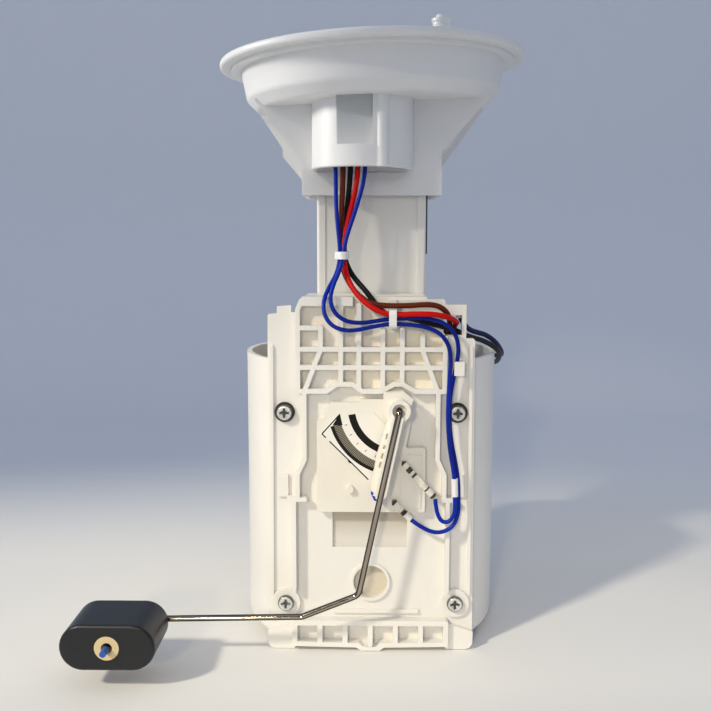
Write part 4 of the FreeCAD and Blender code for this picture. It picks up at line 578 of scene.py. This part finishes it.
# %% Paint on the rod's end
PAINT_STARTS = -81.5 * MM
RAGGED_EDGE = 0.6 * MM
ROD_POLISH = 0.32
PAINT_ROUGHNESS = 0.45
ROD_PAINTED_REFLECTION = (0.03, 0.026, 0.02)
PAINTED_REFLECTION_RANGE = (0.10, 0.28)


def dipped_group():
    group, start, end = new_group("dipped_end", [
        colour_input("Metal", (0.48, 0.42, 0.33)), colour_input("Paint", (0.01, 0.08, 0.4)),
        ("Paint starts", 'NodeSocketFloat', PAINT_STARTS)], [*SURFACE, ("Metallic", 'NodeSocketFloat')])
    steel = group.nodes.new("ShaderNodeGroup")
    steel.node_tree = STREAKED
    steel.inputs["Stretch"].default_value = (0.05, 1, 1)
    group.links.new(start["Position"], steel.inputs["Position"])
    group.links.new(start["Metal"], steel.inputs["Colour"])
    group.links.new(start["Metal"], steel.inputs["Dull"])
    y = split(group, start["Position"])[1]
    ragged = calculate(group, 'MULTIPLY', noise(group, start["Position"], 500.0, 2.0), RAGGED_EDGE)
    painted = calculate(group, 'LESS_THAN', calculate(group, 'ADD', y, ragged), start["Paint starts"])
    group.links.new(blend_colours(group, painted, steel.outputs["Colour"], start["Paint"]), end["Colour"])
    polished = calculate(group, 'MULTIPLY', steel.outputs["Roughness"], ROD_POLISH)
    matt = calculate(group, 'MULTIPLY', painted, PAINT_ROUGHNESS)
    group.links.new(calculate(group, 'MAXIMUM', polished, matt), end["Roughness"])
    group.links.new(calculate(group, 'SUBTRACT', 1.0, painted), end["Metallic"])
    group.links.new(steel.outputs["Height"], end["Height"])
    return group


float_steel, rod_tree, rod_shader, rod_effect = dressed("float_rod_steel", dipped_group(), 0.03)
# Painted reflection: the bare rod's colour darkens towards its edges by Layer Weight's Facing.
turning_away = rod_tree.nodes.new("ShaderNodeLayerWeight").outputs["Facing"]
painted_reflection = all_of(rod_tree, rod_effect.outputs["Metallic"],
                  remap(rod_tree, turning_away, *PAINTED_REFLECTION_RANGE, 0.0, 0.95))
rod_with_painted_reflection = blend_colours(rod_tree, painted_reflection, rod_effect.outputs["Colour"], ROD_PAINTED_REFLECTION)
rod_tree.links.new(rod_with_painted_reflection, rod_shader.inputs["Base Color"])
rod_tree.links.new(rod_effect.outputs["Metallic"], rod_shader.inputs["Metallic"])
print("rod paint from y =", PAINT_STARTS)

# %% [markdown]
# Some small things are marked by place. The lever has dots of blue paint at its free
# end, and the two terminals have black bands across them. The screws get painted shade
# in their crosses and round their heads. Seen through the cover's round eye the
# reservoir's wall gets a warm painted shade, and the sunk panel of the wire duct gets
# painted shade that makes it a little darker than its strips. Each is a group that finds
# the place on the piece and mixes a second colour over the first, which needs no texture
# and no extra solid. Places are X and Z in mm, and the ranges and reaches are in mm too.

# %% Painted marks
SCREWS = [(-35.3, 20.1), (35.3, 20.1), (-35.3, 101.0), (35.3, 101.0)]
CROSS_REACH, HEAD_REACH = 2.3, 2.85
CROSS_DEPTHS = (-42.0, -41.2)
LEVER_DOTS = [(0.1, 69.7), (0.9, 67.9), (1.6, 66.7)]
DOT_REACH = 0.95
EYE = (0, 28.9)
EYE_REACH = 8.0
WALL_DEPTHS = (-36.8, -36.2)
PANEL_WIDTH, PANEL_HEIGHTS, PANEL_DEPTHS = (-14.4, 0.4), (208, 240), (-40.6, -40.0)
PANEL_FADES = (209, 221)
BETWEEN_TERMINALS = 84
UPPER_BANDS = [(-48.9, -47.6), (-45.4, -43.2), (-41.9, -40.9), (-34.2, -33.5), (-30.6, -29.2)]
LOWER_BANDS = [(-40.0, -38.4), (-34.2, -32.6)]


def near_places(tree, x, z, places, reach):
    """A mask that is 1 within this reach of any of the places, in mm."""
    away = [distance(tree, x, z, place_x * MM, place_z * MM)[0] for place_x, place_z in places]
    return any_of(tree, [calculate(tree, 'LESS_THAN', gap, reach * MM) for gap in away])


def marked_group(name, inside, mask_of, mark):
    """The inner group's surface with a mark mixed over its colour where the mask is 1."""
    grain = [item for item in inside.interface.items_tree if item.in_out == 'INPUT'][-1]
    group, start, end = new_group(name, [
        colour_input("Colour", (0.8, 0.8, 0.8)), colour_input("Second", (0.7, 0.7, 0.7)),
        ("Grain", grain.socket_type, grain.default_value), colour_input("Mark", mark)])
    plain = wrapped(group, inside, start, end)
    mask = mask_of(group, *split(group, start["Position"]))
    group.links.new(blend_colours(group, mask, plain, start["Mark"]), end["Colour"])
    return group


def lever_dots(tree, x, y, z):
    return near_places(tree, x, z, LEVER_DOTS, DOT_REACH)


def terminal_bands(tree, x, y, z):
    """Bands across both terminals, which run down to the right at about 45 degrees."""
    along = calculate(tree, 'MULTIPLY', calculate(tree, 'SUBTRACT', x, z), math.sqrt(0.5))
    upper = calculate(tree, 'GREATER_THAN', calculate(tree, 'ADD', x, z), BETWEEN_TERMINALS * MM)
    lower = calculate(tree, 'SUBTRACT', 1.0, upper)
    return any_of(tree, [
        all_of(tree, any_of(tree, [between_mm(tree, along, *band) for band in bands]), side)
        for bands, side in ((UPPER_BANDS, upper), (LOWER_BANDS, lower))])


def screw_recess_shade(tree, x, y, z):
    """Painted shade behind the face of each head within the cross's reach, and at the head's rim."""
    start, end = CROSS_DEPTHS
    cross = all_of(tree, near_places(tree, x, z, SCREWS, CROSS_REACH),
                   remap(tree, y, start * MM, end * MM, 0.0, 0.90))
    outside = calculate(tree, 'SUBTRACT', 1.0, near_places(tree, x, z, SCREWS, HEAD_REACH))
    return any_of(tree, [cross, calculate(tree, 'MULTIPLY', outside, 0.85)])


def behind_eye(tree, x, y, z):
    """The part of the reservoir's flat front that shows through the round eye, given painted shade."""
    return all_of(tree, near_places(tree, x, z, [EYE], EYE_REACH), between_mm(tree, y, *WALL_DEPTHS))


def duct_panel(tree, x, y, z):
    """Painted shade on the sunk panel in front of the wire duct, which fades out towards its foot."""
    low, high = PANEL_FADES
    return all_of(tree, between_mm(tree, x, *PANEL_WIDTH), between_mm(tree, z, *PANEL_HEIGHTS),
                  between_mm(tree, y, *PANEL_DEPTHS), remap(tree, z, low * MM, high * MM, 0.20, 1.0))


lever_paint = marked_group("lever_paint", MOULDED, lever_dots, (0.004, 0.03, 0.45))
acetal_lever = finish("acetal_lever", lever_paint, WARM, 1000.0, 0.10, soak=0.10)
bands = marked_group("terminal_bands", STREAKED, terminal_bands, (0.05, 0.045, 0.03))
banded_tin = finish("banded_terminals", bands, ((0.76, 0.75, 0.69), (0.66, 0.62, 0.50)), ALL_WAYS, 0.10,
                    metallic=0.15)
# Painted shade in the screws' crosses and round their heads.
recess_shade = marked_group("screw_recess_shade", STREAKED, screw_recess_shade, (0.04, 0.045, 0.045))
screw_zinc = finish("screw_zinc", recess_shade, ((0.78, 0.79, 0.76), (0.50, 0.50, 0.47)), ALL_WAYS, 0.08,
                    metallic=0.55)
# Painted shade, warm, on the reservoir's wall inside the round eye.
eye_painted_shade = marked_group("behind_eye", MOULDED, behind_eye, (0.63, 0.57, 0.46))
acetal_reservoir = finish("acetal_reservoir", eye_painted_shade, SUNNY, 950.0, 0.12, soak=0.12)
# Painted shade on the duct's sunk panel, fading out towards its foot.
panel = marked_group("duct_panel", MOULDED, duct_panel, (0.50, 0.515, 0.51))
acetal_flange = finish("acetal_flange_panel", panel, COOL, 800.0, 0.12, soak=0.12)
print("marked finishes:", acetal_lever.name, banded_tin.name, screw_zinc.name, acetal_reservoir.name,
      acetal_flange.name)

# %% [markdown]
# Every solid gets its finish here. The flange and what is joined to it are cooler and
# whiter than the sunlit cover, and the sender's plate is the warmest.

# %% Finish of every solid
finish_of = {
    "reservoir": acetal_reservoir, "front_cover": acetal_cover, "guide_column": acetal,
    "guide_strip": black_plastic, "flange": acetal_flange, "fuel_nipple": acetal_cool,
    "connector_shell": acetal_cool, "harness_plug": acetal_cool, "sender_plate": acetal_warm,
    "arm_holder": acetal_lever, "resistor_card": ceramic, "float_block": foam, "float_bush": tan_plastic,
    "float_rod": float_steel, "rubber_feet": rubber, "screw_rings": rubber, "foot_valve": rubber,
    "pump_sleeve": rubber, "outlet_hose": rubber, "wire_sleeve": acetal_cool,
    "upper_tie": acetal_cool, "lower_tie": acetal_cool, "pump_inlet_cap": black_plastic,
    "pump_outlet_cap": black_plastic, "pump_plug": black_plastic, "jet_pump": black_plastic,
    "return_tube": black_plastic, "pump_impeller": tan_plastic, "cover_screws": screw_zinc,
    "lower_hose_clamp": zinc, "upper_hose_clamp": zinc, "pressure_regulator": zinc,
    "earth_tab": zinc, "guide_spring": drawn_steel, "pump_case": plated_case,
    "pump_shaft": drawn_steel, "pump_armature": ground_steel, "pump_bearings": bronze,
    "pump_magnets": ground_steel, "pump_brushes": carbon, "wiper_contacts": tinned,
    "sender_terminals": banded_tin, "connector_pins": tinned, "intake_strainer": filter_cloth,
    "blue_outer_wire": blue_skin, "blue_inner_wire": blue_skin, "red_wire": red_skin,
    "brown_wire": brown_skin, "black_wire": black_skin, "earth_wire": navy_skin}
for name, solid in nodes.items():
    if not solid.material_slots:
        solid.data.materials.append(finish_of[name])
    for slot in solid.material_slots:
        slot.material = finish_of[name]
print("finished solids:", len(finish_of), "without a finish:", set(nodes) - set(finish_of))

# %% [markdown]
# Each wire is one smooth line through the air: a NURBS curve whose control points lie
# along its route. The curve is then given a round section and becomes a mesh.

# %% Wire builder
def curve_through(name, kind, places):
    """A curve object with one spline of this kind, whose points are these places."""
    curve = bpy.data.curves.new(name, 'CURVE')
    curve.dimensions = '3D'
    spline = curve.splines.new(kind)
    spline.points.add(len(places) - 1)
    for spot, place in zip(spline.points, places):
        spot.co = (*place, 1)
    line = bpy.data.objects.new(name, curve)
    bpy.context.scene.collection.objects.link(line)
    return line


def smooth_line(name, points, fineness):
    """A NURBS curve object with these control points, given in mm."""
    line = curve_through(name, 'NURBS', [(x * MM, y * MM, z * MM) for x, y, z in points])
    spline = line.data.splines[0]
    spline.order_u = 3
    spline.use_endpoint_u = True
    spline.resolution_u = fineness
    return line


def round_mesh(name, line, radius, sides, material):
    """The curve given a round section and closed ends, as a mesh that takes its place."""
    line.data.bevel_depth = radius
    line.data.bevel_resolution = sides
    line.data.use_fill_caps = True
    bpy.context.view_layer.update()
    mesh = bpy.data.meshes.new_from_object(line.evaluated_get(bpy.context.evaluated_depsgraph_get()))
    bpy.data.objects.remove(line)
    piece = bpy.data.objects.new(name, mesh)
    bpy.context.scene.collection.objects.link(piece)
    piece.data.materials.clear()
    piece.data.materials.append(material)
    return piece


def tube_mesh(name, points, radius, material, sides, fineness=5):
    """A tube along the NURBS line, with its ends joined on and its faces turned outwards."""
    tube = round_mesh(name, smooth_line(name + "_line", points, fineness), radius, sides, material)
    bpy.ops.object.select_all(action='DESELECT')
    tube.select_set(True)
    bpy.context.view_layer.objects.active = tube
    bpy.ops.object.mode_set(mode='EDIT')
    bpy.ops.mesh.select_all(action='SELECT')
    bpy.ops.mesh.remove_doubles(threshold=0.00001)
    bpy.ops.mesh.normals_make_consistent(inside=False)
    bpy.ops.object.mode_set(mode='OBJECT')
    bpy.ops.object.shade_smooth()
    return tube


POWER_WIRE = 1.1 * MM
SENDER_WIRE = 0.85 * MM
print("wire radii", POWER_WIRE, SENDER_WIRE)

# %% [markdown]
# The five wires leave the plug under the flange, are tied above the cover, cross it
# behind the second tie and part: two go down beside the right rail to the sender, two
# go over the reservoir's rim to the pump, and a black one goes round behind with the
# earth wire. The route's points are in mm.

# %% Wires
routes = {
    "blue_outer": [(-14.6, -34.0, 205.0), (-14.6, -34.0, 199.0), (-14.5, -34.5, 193.5),
        (-14.4, -35.4, 188.0), (-14.2, -36.6, 182.6), (-13.7, -37.9, 177.3), (-13.1, -39.0, 171.9),
        (-12.6, -39.6, 166.4), (-12.7, -39.8, 163.0), (-13.9, -40.9, 157.4), (-16.7, -43.1, 152.6),
        (-18.9, -45.5, 147.7), (-19.0, -47.8, 142.3), (-16.1, -49.3, 137.5), (-10.7, -49.6, 135.4),
        (-4.9, -48.9, 135.7), (0.8, -48.0, 137.0), (6.6, -47.3, 137.9), (10.4, -47.2, 138.0),
        (16.4, -47.2, 137.6), (22.2, -46.9, 136.6), (27.6, -46.6, 134.1), (30.9, -46.4, 129.3),
        (31.7, -46.3, 123.4), (31.3, -46.3, 117.5), (31.0, -46.4, 111.5), (30.8, -46.5, 105.6),
        (30.8, -46.6, 99.6), (31.1, -46.6, 93.7), (31.7, -46.5, 87.7), (32.7, -46.4, 81.8),
        (33.8, -46.4, 76.0), (34.1, -46.4, 67.0), (34.3, -46.4, 62.6), (33.5, -46.3, 58.9),
        (31.4, -46.1, 56.8), (29.0, -45.9, 57.0), (27.4, -45.6, 59.4), (26.6, -45.4, 62.8),
        (26.2, -45.2, 66.2)],
    "blue_inner": [(-2.6, -34.0, 205.0), (-2.6, -34.0, 199.0), (-3.5, -34.9, 193.4),
        (-4.9, -36.2, 187.9), (-6.5, -37.8, 182.6), (-8.3, -39.4, 177.3), (-10.0, -40.8, 172.0),
        (-11.2, -41.5, 166.4), (-11.5, -41.9, 163.0), (-13.1, -43.5, 157.8), (-15.3, -45.3, 152.9),
        (-16.6, -46.7, 147.5), (-14.8, -47.2, 142.2), (-10.3, -46.7, 138.9), (-4.7, -46.1, 138.1),
        (1.0, -45.5, 138.8), (6.6, -45.2, 139.7), (10.4, -45.2, 139.8), (16.4, -45.4, 140.2),
        (22.4, -45.2, 140.1), (28.1, -44.7, 138.6), (32.9, -44.4, 135.0), (34.9, -44.2, 129.4),
        (34.6, -44.0, 123.5), (33.4, -43.8, 117.6), (32.3, -43.8, 111.7), (31.7, -43.8, 105.7),
        (31.7, -43.8, 99.7), (32.1, -43.9, 93.7), (33.0, -43.9, 87.8), (34.2, -44.0, 81.9),
        (35.3, -44.0, 76.0), (35.7, -44.0, 71.5), (35.8, -44.0, 67.0), (36.0, -44.4, 60.5),
        (33.8, -45.2, 54.5), (28.0, -45.6, 51.9), (21.9, -45.5, 53.5), (16.6, -45.2, 57.4)],
    "red": [(-5.6, -34.0, 205.0), (-5.6, -34.0, 199.0), (-6.2, -34.4, 193.5), (-7.2, -34.8, 188.0),
        (-8.5, -35.4, 182.7), (-9.7, -36.3, 177.3), (-10.7, -37.1, 171.9), (-11.2, -37.5, 166.4),
        (-11.2, -37.9, 163.0), (-10.2, -39.7, 157.0), (-7.8, -42.6, 151.9), (-4.1, -45.5, 147.6),
        (0.7, -47.1, 143.8), (6.6, -47.3, 141.7), (10.4, -47.2, 141.6), (16.2, -47.4, 141.9),
        (22.0, -47.2, 142.0), (27.5, -45.9, 141.4), (32.3, -43.1, 139.8), (34.8, -38.4, 137.7),
        (34.2, -35.4, 137.2), (33.8, -31.0, 133.3), (34.0, -28.0, 127.7), (33.3, -24.5, 123.0),
        (32.0, -20.3, 119.1), (30.2, -15.4, 116.3), (27.9, -10.2, 114.7), (25.4, -5.0, 114.0),
        (22.9, 0.4, 114.3), (20.6, 5.7, 115.4), (18.5, 11.1, 117.0), (16.8, 16.5, 117.9),
        (15.8, 21.9, 116.1), (15.6, 25.6, 111.5)],
    "brown": [(-11.6, -34.0, 205.0), (-11.6, -34.0, 199.0), (-11.7, -34.3, 192.5),
        (-12.0, -34.7, 186.0), (-12.3, -35.0, 179.4), (-12.7, -35.2, 172.9), (-12.6, -35.6, 166.4),
        (-12.5, -35.7, 163.0), (-10.9, -36.8, 157.0), (-8.1, -39.3, 152.1), (-4.2, -42.2, 147.9),
        (0.6, -44.4, 145.4), (6.5, -45.2, 145.0), (10.5, -45.2, 145.0), (15.9, -45.3, 145.1),
        (21.3, -45.2, 145.6), (26.7, -44.1, 145.1), (30.6, -41.8, 142.0), (31.8, -38.3, 137.9),
        (31.7, -35.5, 135.5), (31.8, -31.9, 130.6), (32.0, -29.2, 125.2), (31.5, -26.1, 120.0),
        (30.2, -22.1, 115.6), (28.2, -17.4, 112.4), (25.7, -12.2, 110.5), (23.1, -6.8, 109.8),
        (20.5, -1.3, 110.3), (18.1, 4.1, 111.6), (15.9, 9.5, 113.7), (14.1, 14.9, 115.5),
        (12.8, 20.8, 115.1), (12.4, 25.6, 111.5)],
    "black": [(-8.6, -34.0, 205.0), (-8.6, -34.0, 199.0), (-9.0, -33.6, 192.5), (-9.7, -33.3, 186.0),
        (-10.4, -33.1, 179.5), (-10.9, -33.2, 172.9), (-11.1, -33.6, 166.4), (-10.9, -33.7, 163.0),
        (-8.6, -35.2, 157.7), (-5.2, -37.7, 153.6), (-1.4, -40.2, 149.6), (2.1, -41.9, 144.6),
        (6.2, -43.2, 141.1), (10.4, -43.2, 140.9), (16.3, -42.7, 139.6), (22.2, -42.5, 137.9),
        (28.2, -41.5, 136.6), (33.3, -38.3, 134.9), (35.7, -35.4, 133.8), (38.9, -31.1, 132.0),
        (42.5, -26.4, 130.4), (46.0, -21.8, 129.2), (49.5, -17.4, 127.5), (53.1, -13.3, 125.3),
        (56.0, -8.9, 122.7), (57.2, -3.8, 120.0), (57.6, 1.7, 117.7), (57.6, 7.3, 115.9),
        (57.0, 13.0, 114.7), (55.6, 18.7, 114.3), (53.6, 24.3, 114.8), (51.0, 29.4, 116.2),
        (47.9, 33.8, 118.5), (44.1, 37.3, 121.4), (39.7, 39.4, 124.7), (34.3, 39.6, 127.1),
        (28.8, 38.1, 126.9), (24.0, 35.9, 124.3), (20.0, 33.5, 120.6), (16.7, 31.1, 116.3),
        (14.2, 28.8, 111.5)],
    "earth": [(36.6, -33.9, 139.1), (39.0, -29.7, 135.3), (42.1, -25.0, 133.2), (45.5, -20.1, 131.9),
        (49.1, -15.4, 130.6), (52.5, -10.9, 128.4), (55.5, -6.4, 125.7), (57.8, -1.5, 122.9),
        (59.4, 3.8, 120.4), (59.9, 9.5, 118.6), (59.5, 15.4, 117.4), (58.2, 21.4, 117.0),
        (56.1, 27.0, 117.4), (53.1, 32.2, 118.6), (49.6, 36.5, 120.7), (45.6, 39.8, 124.0),
        (40.9, 41.8, 127.4), (35.4, 42.7, 129.5), (29.5, 42.7, 129.2), (23.9, 42.3, 126.9),
        (18.7, 42.1, 123.8), (13.3, 42.2, 120.9), (7.7, 42.5, 118.5), (2.0, 42.6, 116.6),
        (-3.8, 42.0, 115.2), (-9.6, 40.5, 114.1), (-15.1, 37.9, 113.3), (-20.0, 34.4, 112.6),
        (-24.2, 30.1, 111.9), (-27.8, 25.3, 110.8), (-30.5, 20.4, 108.8), (-32.3, 15.8, 105.3),
        (-33.0, 12.0, 100.6)]
}
skins = {"blue_outer": blue_skin, "blue_inner": blue_skin, "red": red_skin, "brown": brown_skin,
         "black": black_skin, "earth": navy_skin}
for key, points in routes.items():
    radius = SENDER_WIRE if key.startswith("blue") else POWER_WIRE
    wire = tube_mesh(key + "_lead", points, radius, skins[key], sides=5)
    if key == "earth":
        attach(wire, "module")
    else:
        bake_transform(wire)
    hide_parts(key + "_wire")
    print(key, "faces", len(wire.data.polygons))

# %% [markdown]
# The hose from the pump to the flange is a corrugated tube. Its line is a NURBS curve
# too. Between its plain ends the tube is drawn in to a wave, by the distance along its own
# middle line, which gives the rings.

# %% Outlet hose
hose_points = [(-1, 29, 112.2), (-1, 29, 128.2), (-7, 33, 144), (-9.5, 38, 162), (-2, 41, 180),
               (5.5, 38, 193), (8, 33, 204), (8, 33, 213.8)]
HOSE_RADIUS = 4.6 * MM
HOSE_FINENESS = 24
PLAIN_END = 12 * MM
RING_STEP = 3.4 * MM
RING_DEPTH = 0.16

hose = tube_mesh("corrugated_hose", hose_points, HOSE_RADIUS, rubber, sides=8, fineness=HOSE_FINENESS)
middle = smooth_line("hose_middle", hose_points, HOSE_FINENESS)
places = [vertex.co.copy() for vertex in bpy.data.meshes.new_from_object(middle).vertices]
bpy.data.objects.remove(middle)
lengths = [0.0]
for before, after in zip(places, places[1:]):
    lengths.append(lengths[-1] + (after - before).length)
hose_length = lengths[-1]
for vertex in hose.data.vertices:
    nearest = min(range(len(places)), key=lambda k: (places[k] - vertex.co).length_squared)
    far = lengths[nearest]
    if PLAIN_END < far < hose_length - PLAIN_END:
        wave = 0.5 - 0.5 * math.cos(math.tau * (far - PLAIN_END) / RING_STEP)
        vertex.co = places[nearest] + (vertex.co - places[nearest]) * (1 - RING_DEPTH * wave)
print("hose length", round(hose_length, 4), "rings about", round((hose_length - 2 * PLAIN_END) / RING_STEP))
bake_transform(hose)
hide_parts("outlet_hose")
print("hose faces", len(hose.data.polygons))

# %% [markdown]
# The guide spring is a coil of round wire. It is a helix whose pitch closes up over the
# turn at each end. A skin of round section follows it.

# %% Guide spring
SPRING_RADIUS = 7.5 * MM
SPRING_WIRE = 0.75 * MM
TURNS = 11.0
STEPS_PER_TURN = 40


def coil_places(radius, low, high, turns):
    """The helix's places, with one turn at each end over which the pitch closes up."""
    steps = int(turns * STEPS_PER_TURN)
    closed = 0.5 / turns
    places = []
    for step in range(steps + 1):
        share = step / steps
        if share < 2 * closed:
            rise = 0.5 * share * share / (2 * closed)
        elif share > 1 - 2 * closed:
            rise = 1 - 2 * closed - 0.5 * (1 - share) * (1 - share) / (2 * closed)
        else:
            rise = share - closed
        angle = share * turns * math.tau
        places.append((radius * math.cos(angle), radius * math.sin(angle),
                       low + (high - low) * rise / (1 - 2 * closed)))
    return places


spring_low, spring_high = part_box("guide_spring")
turns_of_wire = coil_places(SPRING_RADIUS, spring_low[2] + SPRING_WIRE, spring_high[2] - SPRING_WIRE, TURNS)
helix = curve_through("coil_line", 'POLY', turns_of_wire)
spring = round_mesh("coil_spring", helix, SPRING_WIRE, sides=3, material=drawn_steel)
spring.data.shade_smooth()
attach(spring, "module")
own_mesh(spring)
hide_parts("guide_spring")
print("spring faces", len(spring.data.polygons))
